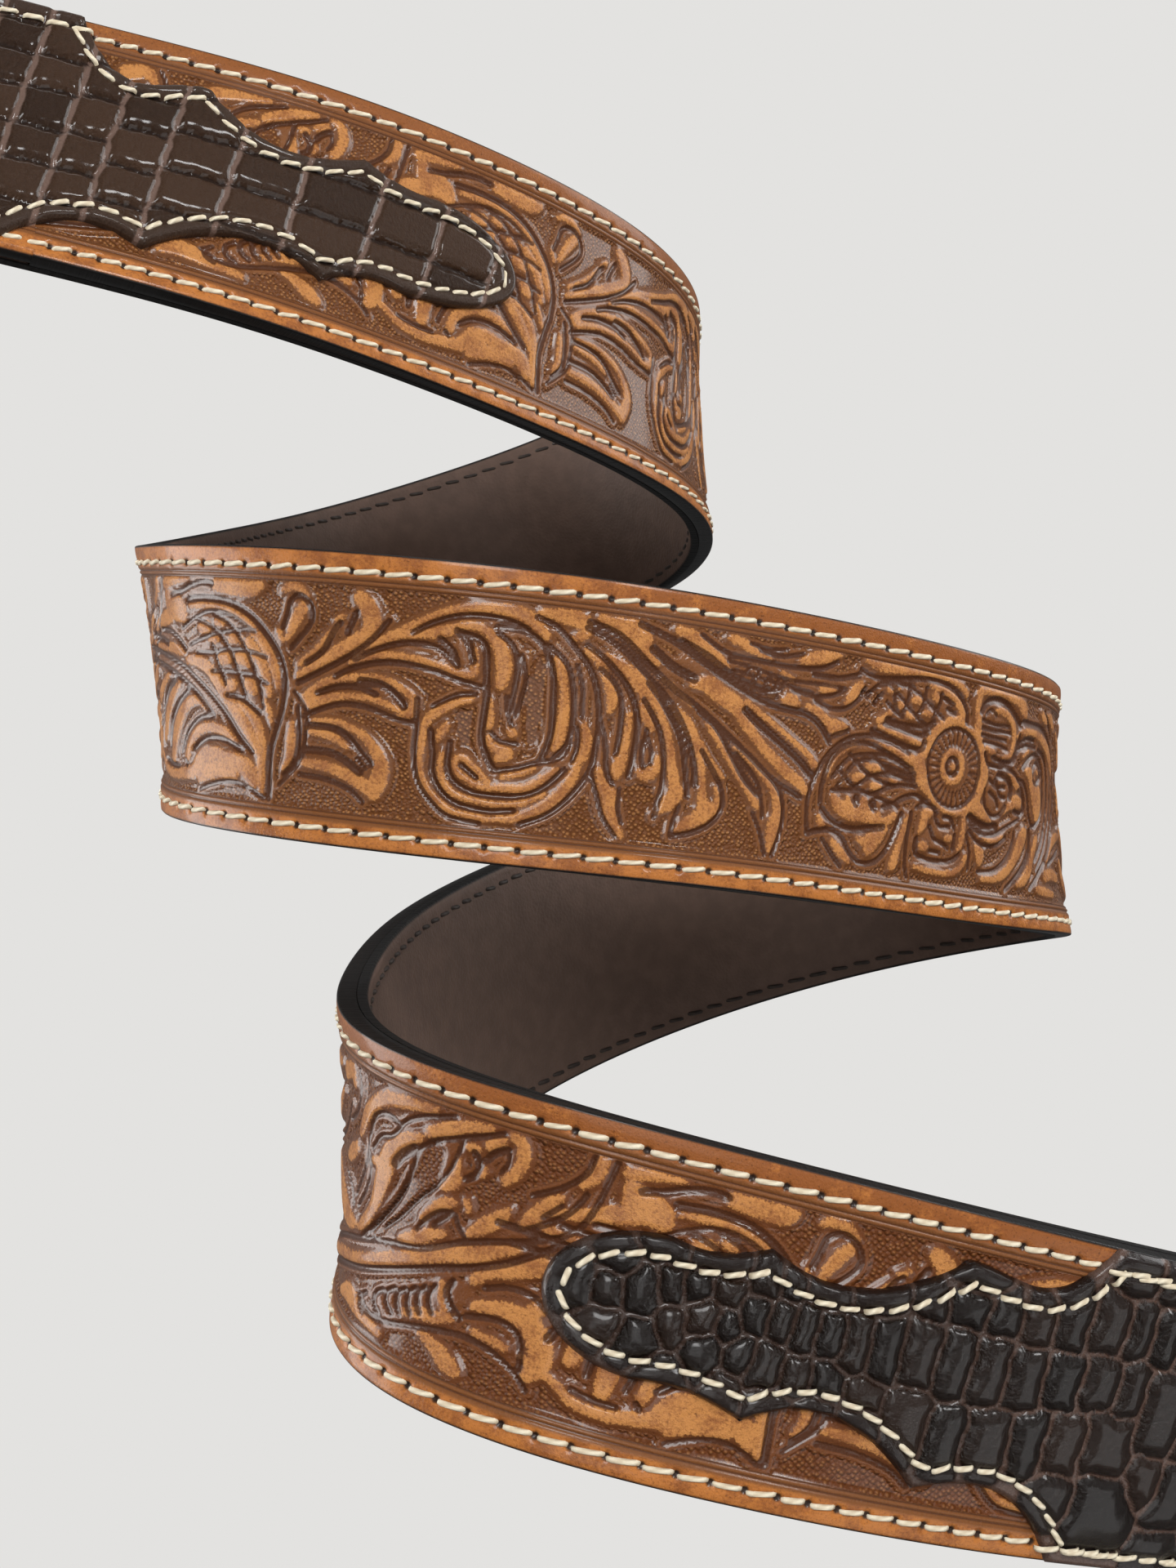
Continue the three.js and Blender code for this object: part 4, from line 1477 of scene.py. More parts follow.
@dataclass(frozen=True)
class TooledStrap:
    """The tooled strap, from under the buckle's overlay to where the tip's overlay hides it."""

    # First and last station of each stretch, and the spacing of its grid
    rows: tuple[Numbers, ...] = (
        (47, 180, 0.38), (180, 329, 0.6), (329, 385, 0.6), (385, 580, 0.38), (580, 611, 0.6), (611, 770, 0.6),
        (770, 893, 0.38),
    )
    lengths: tuple[str, ...] = ("strap_upper_length", "strap_middle_length", "strap_lower_length")
    cuts: Numbers = (47.0, 329.0, 611.0, 893.0)  # Stations of their ends
    middle: float = 0.6  # Level of the section's middle
    line_depth: float = 0.25
    line_place: float = 0.45  # Middle of the two lines, past the field
    line_offset: float = 0.33  # Distance of each line from that middle
    line_width: float = 0.2
    bevel_depth: float = 0.08
    channel_depth: float = 0.1
    hole_depth: float = 0.45

    def section(self) -> tuple[Array, Array]:
        """The closed section, from the lower edge over the front to the upper edge and round the back.

        Returns:
            Distances across and levels of its points.
        """
        field = np.linspace(-FIELD_HALF, FIELD_HALF, 85)
        past = (0.12, 0.28, 0.45, 0.62, 0.78, 0.95, 1.2, 1.55, 1.85, 2.1, 2.35, 2.65, 3.1, 3.6)
        border = FIELD_HALF + np.array(past)
        edge = np.array([(18.78, 2.04), (18.94, 1.88), (19.0, 1.6), (19.02, 0.6), (18.98, SEAM_LEVEL + 0.12)])
        back = np.array([18.7, 10.0, 0.0, -10.0, -18.7])
        front = np.concatenate([-border[::-1], field, border])
        across = np.concatenate([front, edge[:, 0], back, -edge[::-1, 0]])
        flat = (np.full(len(front), STRAP_FRONT), np.full(len(back), SEAM_LEVEL))
        return across, np.concatenate([flat[0], edge[:, 1], flat[1], edge[::-1, 1]])

    def build(self, leather: Material) -> None:
        """Builds the three lengths.

        Args:
            leather: Their finish.
        """
        stretches = [
            np.linspace(first, last, round((last - first) / step), False) for first, last, step in self.rows
        ]
        stations = np.append(np.concatenate(stretches), self.cuts[-1])
        across, level = self.section()
        front = np.count_nonzero(level == STRAP_FRONT)
        face = TooledFace(stations, across[:front])
        notes = {"crest": face.fields[Layer.CREST], "cut": face.fields[Layer.CUT], "leaf": face.leaf()}
        notes["hole"] = self.hole_distance(stations, across[:front])
        out = np.broadcast_to(level, (len(stations), len(across))).copy()
        out[:, :front] += self.relief(face, across[:front], notes["hole"])
        points = RUNLINE.point(stations[:, None], across[None, :], out)
        normals = grid_normals(points)
        width = len(across)
        for name, low, high in zip(self.lengths, self.cuts[:-1], self.cuts[1:]):
            i, j = np.searchsorted(stations, [low - 0.01, high + 0.01])
            count = (j - i) * width
            middles = RUNLINE.point(np.array([low, high]), 0.0, self.middle)
            ring = np.arange(width)
            after = np.roll(ring, -1)
            start = np.stack([np.full(width, count), ring, after], axis=1)
            end = np.stack([np.full(width, count + 1), count - width + after, count - width + ring], axis=1)
            body = np.concatenate([points[i:j].reshape(-1, 3), middles])
            piece = Piece(name, body, [grid_faces(j - i, width, closed=True), start, end])
            station_map = np.append(np.repeat(stations[i:j], width), [low, high])
            piece.map_belt(station_map, np.append(np.tile(across, j - i), [0, 0]))
            for note, values in notes.items():
                whole = np.full((j - i, width), FAR)
                whole[:, :front] = values[i:j]
                piece.note(note, np.append(whole.ravel(), [FAR, FAR]))
            ends = RUNLINE.frames(np.array([low, high]))[1][:, :, 0] * [[-1], [1]]
            piece.shade(np.concatenate([normals[i:j].reshape(-1, 3), ends]))
            piece.finish(leather, "tooled_leather", "tooled_strap")

    def hole_distance(self, stations: Array, across: Array) -> Array:
        """Distance from each point to the nearest stitch hole.

        Args:
            stations: The grid's stations.
            across: Its distances across.

        Returns:
            The distances in mm.
        """
        distance = np.full((len(stations), len(across)), FAR)
        for side in (1, -1):
            middles, _ = stitch_middles(side)
            holes = (middles[:-1] + middles[1:]) / 2
            index = np.clip(np.searchsorted(holes, stations), 1, len(holes) - 1)
            along = np.minimum(np.abs(stations - holes[index - 1]), np.abs(stations - holes[index]))
            aside = across - side * STITCH_ROW - STITCH_SHIFT
            distance = np.minimum(distance, np.hypot(along[:, None], aside[None, :]))
        return distance

    def relief(self, face: TooledFace, across: Array, hole: Array) -> Array:
        """Level of the front against the border's.

        Args:
            face: The tooled grid.
            across: Its distances across.
            hole: Distance to the stitch holes.

        Returns:
            The tooling inside the field, and outside it two lines and a bevel, a faint channel under the
            stitches, and their holes.
        """
        beyond = np.abs(across)[None, :] - FIELD_HALF
        inside = passage(beyond + 0.15, 0.4)
        off_line = np.abs(beyond - self.line_place) - self.line_offset
        lines = -self.line_depth * bell(off_line / self.line_width)
        bevel = self.bevel_depth * passage(beyond - 0.8, 0.5)
        channel = -self.channel_depth * bell((np.abs(across - STITCH_SHIFT)[None, :] - STITCH_ROW) / 0.6)
        return inside * face.relief() + (lines - bevel) + channel - self.hole_depth * bell(hole / 0.45)


@dataclass(frozen=True)
class StrapFold:
    """The strap's end that goes round the buckle's bar and lies turned back behind itself."""

    round_radius: float = 3.8
    taper: float = 14.0  # Length over which the fold's bulge goes down
    half_thickness: float = 1.25
    edge_width: float = 0.8  # Width over which its edges are thinned
    thinning: float = 0.8
    groove_depth: float = 0.2
    slot_half: float = 3.3
    slot_length: float = 10.0
    # Distances across of the grid's lines
    lines: Numbers = (
        0, 1.65, 3.3, 5, 7, 9, 11, 13, 14.6, 14.9, 15.5, 16.2, 16.7, 17.2, 17.8, 18.4, 18.8, 19,
    )

    def middle(self) -> tuple[Array, ...]:
        """The line that the strap's middle follows, from its turned-back end to the strap's shown face.

        Returns:
            Stations, how far ahead of the station's plane it lies, its levels, and the way of its front
            face there, as shares along the belt and out of it.
        """
        back = np.linspace(TURNED_BACK, 0, 36)
        front = np.linspace(0, FOLD_LENGTH, 37)
        turn = np.linspace(math.pi, 0, 15)[1:-1]
        level_back = -1.95 - 1.85 * self.swell(back)
        level_front = 0.85 + 2.95 * self.swell(front)
        slope_back, slope_front = np.gradient(level_back, back), np.gradient(level_front, front)
        station = np.concatenate([back, np.zeros(len(turn)), front])
        ahead = np.concatenate([0 * back, -self.round_radius * np.sin(turn), 0 * front])
        level = np.concatenate([level_back, self.round_radius * np.cos(turn), level_front])
        along = np.concatenate([slope_back, -np.sin(turn), -slope_front])
        out = np.concatenate([-np.ones(len(back)), np.cos(turn), np.ones(len(front))])
        size = np.hypot(along, out)
        return station, ahead, level, along / size, out / size

    def swell(self, station: Array) -> Array:
        """Share of the fold's bulge at a station, half of 1 plus the cosine over its taper, and 0 past it."""
        share = np.minimum(station / self.taper, 1)
        return 0.5 + 0.5 * np.cos(math.pi * share)

    def build(self, leather: Material) -> None:
        """Builds it as a sheet with a slot for the buckle's prong.

        Args:
            leather: Its finish.
        """
        station, ahead, level, along, out = self.middle()
        half = np.array(self.lines)
        across = np.concatenate([-half[:0:-1], half])
        near_edge = np.clip((np.abs(across) - (HALF_WIDTH - self.edge_width)) / self.edge_width, 0, 1)
        thin = self.half_thickness * np.sqrt(1 - self.thinning * near_edge**2)
        groove = self.groove_depth * bell((np.abs(across) - FIELD_HALF - 0.2) / 0.35)
        place, height, past, out, along = (row[:, None] for row in (station, level, ahead, out, along))
        sides = [
            RUNLINE.point(place, across, height + out * depth, past + along * depth)
            for depth in (thin - groove, -thin)
        ]
        reach = np.where(ahead < 0, ahead, station)
        middle_reach, middle_across = (reach[:-1] + reach[1:]) / 2, (across[:-1] + across[1:]) / 2
        slot = (middle_reach[:, None] < self.slot_length) & (np.abs(middle_across)[None, :] < self.slot_half)
        arc = np.concatenate([[0], np.cumsum(np.hypot(np.diff(station + ahead), np.diff(level)))])
        stretch, width = np.meshgrid(FOLD_LENGTH + arc - arc[-1], across, indexing="ij")
        piece = Piece.sheet("strap_fold", sides, ~slot, stretch, width, **plain_notes(width.shape))
        piece.finish(leather, "tooled_leather", "tooled_strap")


def plain_notes(shape: tuple[int, ...]) -> dict[str, Array]:
    """Gives the numbers that the tooled leather reads, for a grid without tooling."""
    return dict.fromkeys(("crest", "cut", "leaf", "hole"), np.full(shape, FAR))


@dataclass(frozen=True)
class PunchedSheet:
    """A sheet along the belt up to its rounded tip, with the punched holes."""

    first: float
    step: float
    outer: Numbers  # Distances across of the grid's lines beside the block round a hole
    cell: float = 0.75  # Spacing of the grid round the holes

    def grid(self) -> tuple[Array, ...]:
        """Draws the grid.

        Returns:
            Its stations and distances across, which cells are left, the distances across without the holes
            and the narrow tip, and the belt's share of its full width.
        """
        stations = lines_with_holes(self.first, self.step, self.cell)
        outer = np.array(self.outer)
        share = np.concatenate([-outer[::-1], block_lines(self.cell), outer]) / HALF_WIDTH
        station, edge = np.meshgrid(stations, share * HALF_WIDTH, indexing="ij")
        narrow = half_width(station) / HALF_WIDTH
        station, across, keep = punch(station, edge, self.cell)
        return station, across * narrow, keep, edge, narrow


@dataclass(frozen=True)
class StrapTip(PunchedSheet):
    """The strap under the tip's overlay, plain and punched."""

    first: float = 892.5
    step: float = 2.0
    outer: Numbers = (8, 10.5, 13, 14.6, 16, 17.3, 18.4, 19)
    sunk: float = 0.15

    def build(self, leather: Material) -> None:
        """Builds it with its front sunk under the overlay.

        Args:
            leather: Its finish.
        """
        station, across, keep, _, narrow = self.grid()
        sides = [RUNLINE.point(station, across, level) for level in (STRAP_FRONT - self.sunk, SEAM_LEVEL)]
        piece = Piece.sheet("strap_tip", sides, keep, station, across / narrow, **plain_notes(station.shape))
        piece.finish(leather, "tooled_leather", "tooled_strap")


@dataclass(frozen=True)
class Lining(PunchedSheet):
    """The lining along the whole back of the belt, punched with it."""

    first: float = TURNED_BACK + 0.6
    step: float = 3.0
    outer: Numbers = (6.8, 8.8, 10.8, 12.8, 14.8, 16.4, 17.6, 18.4, 18.8, 19.0)
    rounding: float = 0.45  # How far its edges are rounded down
    edge_width: float = 1.0  # Width over which they are
    channel: float = 0.12  # Depth of the channel

    def build(self, leather: Material) -> None:
        """Builds it with rounded edges and a channel under the stitches.

        Args:
            leather: Its finish.
        """
        station, across, keep, edge, _ = self.grid()
        near_edge = np.clip((np.abs(edge) - (HALF_WIDTH - self.edge_width)) / self.edge_width, 0, 1)
        rounding = self.rounding * near_edge**2
        channel = self.channel * bell((np.abs(edge) - STITCH_ROW) / 0.7)
        levels = (SEAM_LEVEL, LINING_BACK + rounding + channel)
        sides = [RUNLINE.point(station, across, level) for level in levels]
        Piece.sheet("lining_leather", sides, keep, station, edge).finish(leather, "lining_leather", "lining")


@dataclass(frozen=True)
class Corner:
    """A corner of an overlay's scalloped outline."""

    back: float  # Distance back from the nose
    out: float  # Distance from the belt's middle line
    hollow: float = 0.0  # How far the edge is hollowed from it to the next corner
    lean: float = 0.0  # How much the hollow leans towards the next corner


@dataclass(frozen=True)
class ScalePrint:
    """An embossed print of scales, each a box with round corners."""

    # First and last station, and lowest and highest distance across, of each scale
    boxes: tuple[Numbers, ...]
    shear: float  # How far ahead a scale's sides climb per mm across
    corner: float  # Radius of its corners
    swell: float  # Distance over which it rises from its edge
    height: float  # How far it stands out of the grooves
    groove: float
    wobble: float  # How far the scales' edges stray
    bevel: float  # How far a scale falls towards its lower edge

    def measure(self, station: Array, across: Array) -> tuple[Array, ...]:
        """Measures a grid of points against the scales, which grow until they meet in the grooves.

        Args:
            station: Stations of the points, rising or falling from row to row.
            across: Their distances across.

        Returns:
            The signed distance to the nearest scale, negative inside it, which way it lies there, from 0
            along the belt to 1 across it, a number for each scale, and the height over its lower edge.
        """
        draw = np.random.default_rng(len(self.boxes))
        sway = np.sin(0.9 * across + 0.35 * station) + 0.6 * np.sin(2.3 * across - 0.8 * station)
        lift = np.sin(1.1 * station + 0.3 * across) + 0.6 * np.sin(2.9 * station + 1.1 * across)
        x, y = station - self.shear * across + self.wobble * sway, across + self.wobble * lift
        gap, second, over = (np.full(x.shape, 3.0) for _ in range(3))
        way, tint = np.zeros(x.shape), np.full(x.shape, 0.5)
        for box in self.boxes:
            first, last, low, high = np.array(box) + draw.uniform(-1, 1, 4) * self.wobble
            shade = draw.random()
            middle, half = (first + last) / 2, (last - first) / 2
            near = np.flatnonzero((np.abs(x - middle) < half + 2.5).any(axis=1))
            if not len(near):
                continue
            rows = slice(near[0], near[-1] + 1)
            corner = min(self.corner, 0.45 * (last - first), 0.45 * (high - low))
            along = np.abs(x[rows] - middle) - half + corner
            aside = np.abs(y[rows] - (low + high) / 2) - (high - low) / 2 + corner
            inner = np.minimum(np.maximum(along, aside), 0)
            away = np.hypot(np.maximum(along, 0), np.maximum(aside, 0)) + inner - corner
            closer = away < gap[rows]
            second[rows] = np.minimum(second[rows], np.maximum(gap[rows], away))
            gap[rows] = np.where(closer, away, gap[rows])
            way[rows] = np.where(closer, np.clip(0.5 + (aside - along) * 2, 0, 1), way[rows])
            tint[rows] = np.where(closer, shade, tint[rows])
            over[rows] = np.where(closer, y[rows] - low, over[rows])
        return (gap - second + self.groove) / 2, way, tint, over

    def relief(self, gap: Array, over: Array) -> Array:
        """Level of the print against its highest point.

        A scale rises over its swell as a quarter of an ellipse does, to the height. Over the last 1.3 mm
        above its lower edge it falls by the bevel.

        Args:
            gap: Signed distance to the nearest scale.
            over: Height over its lower edge.

        Returns:
            The levels in mm.
        """
        share = np.clip(-gap / self.swell, 0, 1)
        low = np.clip(1 - over / 1.3, 0, 1)
        return self.height * (np.sqrt(2 * share - share**2) - 1) - self.bevel * low**1.1


@dataclass
class ReptileOverlay:
    """A reptile-print overlay with a rounded nose and scalloped sides."""

    name: str
    node: str  # The CAD node that it replaces
    nose: float  # Station of the nose
    towards: int  # The way from the nose along the belt, 1 or -1
    end: float  # Station of the other end
    upper: tuple[Corner, ...]
    lower: tuple[Corner, ...]
    scales: ScalePrint
    pitch: float  # Distance between the stitches along its outline
    nose_length: float = 6.0  # Length over which the grid is closest
    fine_step: float = 0.32  # Spacing of the grid along the shown part
    coarse_step: float = 1.5  # Spacing along the rest
    shown: float = 77.0  # Length of the shown part
    cell: float = 0.5  # Spacing round the punched holes
    search: float = 14.0  # How far along the belt a point's nearest outline is looked for
    seam: float = 2.0  # How far inside the outline its stitches run
    press: float = 0.3  # How far they press the leather down
    roll: float = 0.75  # How far its edge is rolled down
    fade: float = 0.4  # How much flatter the scales are outside the stitches
    sink: float = 0.12  # How far lower they lie there, times that
    foot: float = 1.3  # Level of its back over the field
    lift: float = 0.75  # How much higher its back lies over the border
    lifted: float = 16.4  # Distance across past which it does

    def edge(self, corners: tuple[Corner, ...], back: Array) -> Array:
        """How far out an edge is: an ellipse round the nose, then a hollow between each two corners.

        A hollow is a parabola under the line from corner to corner, times 1 plus or less its lean.

        Args:
            corners: The edge's corners.
            back: Distances back from the nose.

        Returns:
            Distances from the belt's middle line.
        """
        first = corners[0]
        nose = first.out * np.sqrt(np.clip(1 - (1 - back / first.back) ** 2, 0, 1))
        at, out, hollow, lean = np.array([astuple(corner) for corner in corners]).T
        row = np.clip(np.searchsorted(at, back, side="right") - 1, 0, len(at) - 2)
        u = np.clip((back - at[row]) / (at[row + 1] - at[row]), 0, 1)
        hollow = 4 * hollow[row] * u * (1 - u) * (1 + lean[row] * (2 * u - 1))
        scallop = out[row] + (out[row + 1] - out[row]) * u - hollow
        widest = half_width(self.nose + self.towards * back)
        return np.minimum(np.where(back <= first.back, nose, scallop), widest)

    def backs(self) -> Array:
        """Distances back from the nose of the grid's rows, closest round the nose."""
        length = abs(self.end - self.nose)
        nose = self.nose_length * (np.arange(1, 23) / 22) ** 2
        rows = round((self.shown - self.nose_length) / self.fine_step)
        fine = np.linspace(self.nose_length, self.shown, rows + 1)[1:]
        if self.towards < 0:
            return np.concatenate([nose, fine, np.linspace(self.shown, length, 30)[1:]])
        coarse = lines_with_holes(self.nose + self.shown, self.coarse_step, self.cell) - self.nose
        return np.concatenate([nose, fine, coarse[1:]])

    def outline(self) -> Array:
        """The shown outline as points of distance back and across, from the upper edge round the nose."""
        back = np.concatenate([8 * (np.arange(1, 60) / 60) ** 2, np.arange(8, 110, 0.4)])
        upper = np.stack([back, self.edge(self.upper, back)], axis=1)
        lower = np.stack([back, -self.edge(self.lower, back)], axis=1)
        return np.concatenate([upper[::-1], [[0, 0]], lower])

    def rim_distance(self, back: Array, across: Array) -> Array:
        """Distance from points to the outline.

        Args:
            back: Their distances back from the nose.
            across: Their distances across.

        Returns:
            The distances in mm.
        """
        outline = self.outline()
        result = np.empty(back.shape)
        for row in range(len(back)):
            near = outline[np.abs(outline[:, 0] - back[row, 0]) < self.search]
            if not len(near):
                result[row] = HALF_WIDTH - np.abs(across[row])
                continue
            a, b = near[:-1, None], near[1:, None]
            at = np.stack([back[row], across[row]], axis=-1)[None]
            step = b - a
            share = np.clip(((at - a) * step).sum(-1) / np.maximum((step**2).sum(-1), 1e-9), 0, 1)
            result[row] = np.linalg.norm(at - a - share[..., None] * step, axis=-1).min(axis=0)
        return result

    def build(self, leather: Material, slot: str) -> None:
        """Builds the overlay as a sheet whose scales stand out.

        Args:
            leather: Its finish.
            slot: The record's slot of the finish.
        """
        back = self.backs()
        inner = np.linspace(BLOCK_CELLS * self.cell, HALF_WIDTH - 0.9, 33)[1:]
        outer = np.append(inner, HALF_WIDTH - np.array([0.65, 0.45, 0.28, 0.13, 0.04, 0.0]))
        across = np.concatenate([-outer[::-1], block_lines(self.cell), outer])
        back, across = np.meshgrid(back, across, indexing="ij")
        station, across, keep = punch(self.nose + self.towards * back, across, self.cell)
        back = (station - self.nose) * self.towards
        upper, lower = self.edge(self.upper, back), self.edge(self.lower, back)
        middle, half = (upper - lower) / 2, (upper + lower) / 2
        across = middle + across / HALF_WIDTH * half
        rim = self.rim_distance(back, across)
        gap, way, tint, over = self.scales.measure(station, across)
        faded = 1 - self.fade * passage(rim - self.seam - 0.2, 0.8)
        level = OVERLAY_FRONT + self.scales.relief(gap, over) * faded - self.sink * (1 - faded)
        level -= self.press * bell((rim - self.seam) / 0.5) + self.roll * np.clip(1 - rim / 0.7, 0, 1) ** 2
        foot = self.foot + self.lift * passage(self.lifted - np.abs(across), 1.6)
        sides = [RUNLINE.point(station, across, height)[:: self.towards] for height in (level, foot)]
        grids = dict(keep=keep, station=station, across=across, gap=gap, way=way, tint=tint, rim=rim)
        grids = {name: grid[:: self.towards] for name, grid in grids.items()}
        Piece.sheet(self.name, sides, **grids).finish(leather, slot, self.node)

    def stitch_path(self) -> Array:
        """The line of its outline stitches, from the upper edge row round the nose to the lower one.

        Returns:
            Points of station and distance across.
        """
        outline = self.outline()
        step = np.gradient(outline, axis=0)
        normal = np.stack([step[:, 1], -step[:, 0]], axis=1)
        normal /= np.maximum(np.linalg.norm(normal, axis=1, keepdims=True), 1e-9)
        inside = outline - normal * self.seam
        if inside[len(inside) // 2, 0] < 0:
            inside = outline + normal * self.seam
        gap = np.linalg.norm(inside[:, None] - outline[None], axis=-1).min(axis=1)
        inside = inside[(gap > self.seam - 0.12) & (np.abs(inside[:, 1]) < STITCH_ROW + 0.2)]
        return np.stack([self.nose + self.towards * inside[:, 0], inside[:, 1]], axis=1)


# Columns of the brown print: where each begins at the belt's middle, and the lines between its rows
BROWN_COLUMNS = (
    (17.0, (15.6, 10.9, 5.4, -0.2, -5.8, -12)), (23.5, (12.6, 6.7, 0.8, -5.2, -11)),
    (30.0, (15.6, 10.9, 5.4, -0.2, -5.8, -12)), (36.5, (15.6, 10.9, 5.4, -0.2, -5.8, -12)),
    (42.7, (16.9, 11.2, 6.0, -0.2, -5.7, -12)), (49.5, (12, 6.7, 0.3, -5.6, -10.8)),
    (55.4, (15, 8.9, 3.3, -2.9, -8.6)), (62.8, (11, 4.9, -1.2, -7.5)), (72.0, (11, 4.7, -0.9, -7)),
    (81.6, (5, -1.4, -8)), (93.1, (5, -2.0)), (103.4, (5, -1.9)), (113.7, ()), (124.0, ()),
)
# Scales of the black print: first and last station, and lowest and highest distance across
BLACK_SCALES = (
    (822.5, 824, -1.1, 2.1), (825.4, 827.8, -0.7, 2.1), (828.3, 831.4, -0.2, 3.7), (831.4, 833.7, 1.4, 4.6),
    (834.2, 836.9, 2.3, 4.8), (837.8, 839.8, 3.2, 4.8), (841.9, 843.9, 4.8, 7.1), (844.5, 846.2, 5.2, 6.9),
    (835.8, 838, -1.1, 1.9), (832.8, 834.8, -2.7, 0), (824.9, 828, -4, -1.8), (828.9, 831.9, -5, -2),
    (836.4, 838.8, -5.9, -1.8), (840.8, 842.9, -4, -0.9), (841.7, 843.5, 0.3, 3.5), (838.7, 840.7, -1.1, 1.2),
    (844.4, 846, 0.3, 3.9), (843.5, 846, -5.2, -1.1), (847.3, 849.1, -0.4, 4.1), (847, 849.3, -5, -1.5),
    (849.8, 852, 0, 4.1), (850.4, 853.5, -4.7, -1.5), (853.1, 855, -1.2, 4.7), (856.2, 858.8, -1.5, 5),
    (859.7, 863.2, -1.5, 5.5), (864, 867.2, -1.7, 5.5), (868, 871.5, -1.7, 5.3), (872.5, 875.9, -1.5, 5),
    (877, 880.8, -0.2, 5.5), (881.5, 885.2, 0.5, 6), (886.5, 889, 0, 6.2), (890, 894.5, -3.5, 5.5),
    (860, 863, 6.5, 9), (863.8, 867.6, 6.7, 10.2), (868.4, 871.5, 6.6, 10), (872.4, 875.5, 6.7, 10.4),
    (876.5, 879.8, 6.7, 12.5), (880.3, 884.3, 7.2, 13), (884.8, 887.5, 7.2, 13.2), (888.2, 891, 7, 13.2),
    (864.3, 867.5, 10.8, 13.3), (883, 886, 14.5, 17.5), (887, 891.5, 14.4, 17.8), (892, 895.5, 6.8, 13),
    (854.4, 858, -5, -2.2), (859.5, 863.8, -8.5, -2.2), (865, 868.3, -9, -3), (869.5, 874, -8.2, -2.7),
    (874.8, 878.8, -7.7, -2), (879.3, 883.5, -7.5, -1.5), (884, 889.5, -7, -0.5), (880.2, 883.5, -13, -9),
    (885.5, 892, -14.5, -8), (891, 894.5, -9.7, -5), (854, 858.5, -8.2, -6), (839, 842, -8, -5.6),
    (844, 848, -8.2, -6.2), (849.5, 853, -8, -5.8), (832.5, 836, -6.9, -5.6), (826, 828, 3.2, 5.2),
    (830, 833, 5.6, 7), (835, 839, 6.2, 7.6), (848, 851.5, 5.2, 7.6), (853, 857.5, 6, 8.6),
)


def brown_scales(gap: float = 0.8) -> Iterable[Numbers]:
    """Cuts the brown print's columns into scales.

    Args:
        gap: Width of the grooves between them.

    Yields:
        First and last station, and lowest and highest distance across, of each scale.
    """
    for (first, lines), (last, _) in zip(BROWN_COLUMNS[:-1], BROWN_COLUMNS[1:]):
        bounds = [HALF_WIDTH + 3, *lines, -HALF_WIDTH - 3]
        for high, low in zip(bounds[:-1], bounds[1:]):
            yield first + gap / 2, last - gap / 2, low + gap * 0.45, high - gap * 0.45


def hidden_black_scales(gap: float = 0.9) -> Iterable[Numbers]:
    """Goes on with the black print to the tip, in columns that grow from 4.6 mm to 8 mm.

    Args:
        gap: Width of the grooves between them.

    Yields:
        First and last station, and lowest and highest distance across, of each scale.
    """
    first, width = 896.0, 4.6
    while first < TIP_STATION:
        for low, high in ((-22, -13.2), (-13.2, -4.6), (-4.6, 5.2), (5.2, 13.8), (13.8, 22)):
            yield first, first + width, low + gap / 2, high - gap / 2
        first += width + gap
        width = min(width + 0.35, 8)


BUCKLE_END = ReptileOverlay(
    name="brown_reptile_overlay", node="buckle_end_overlay", nose=118.5, towards=-1, end=16.0,
    upper=(
        Corner(16.0, 7.7, 0.8), Corner(27.3, 9.6, 4.1, 0.3), Corner(49.9, 12.7, 4.9, 0.9), Corner(67.8, 19),
        Corner(200, 19),
    ),
    lower=(
        Corner(20.0, 7.8, 1.3), Corner(32.2, 10.3, 4.1, -0.1), Corner(57.6, 13.6, 3.9), Corner(77.5, 19),
        Corner(200, 19),
    ),
    scales=ScalePrint(
        tuple(brown_scales()), shear=0.22, corner=0.9, swell=0.8, height=0.45, groove=0.7, wobble=0.1,
        bevel=0.32,
    ),
    pitch=3.2,
)
TIP_END = ReptileOverlay(
    name="black_reptile_overlay", node="tip_end_overlay", nose=819.3, towards=1, end=TIP_STATION,
    upper=(
        Corner(12.5, 8.1, 1.1), Corner(23.1, 9.6, 3.9), Corner(45.0, 13.6, 3.8, 0.7), Corner(61.3, 19),
        Corner(400, 19),
    ),
    lower=(
        Corner(11.5, 8.1, 1.0), Corner(24.2, 9.6, 4.3, -0.1), Corner(45.3, 12.9, 4.5, 0.3), Corner(64.7, 19),
        Corner(400, 19),
    ),
    scales=ScalePrint(
        (*BLACK_SCALES, *hidden_black_scales()), shear=0, corner=1.0, swell=2.1, height=0.9, groove=0.36,
        wobble=0.12, bevel=0.05,
    ),
    pitch=2.75, seam=2.2,
)


class Face(Enum):
    """Which face of the belt a thread lies on."""

    FRONT = 1
    BACK = -1


@dataclass(frozen=True)
class Seam:
    """Places of the stitches of one row."""

    station: Array  # Stations of their middles
    across: Array
    heading: Array  # Directions on the belt in radians, 0 along it
    level: Array  # Level of the leather under each
    pitch: Array  # Distance from stitch to stitch at each


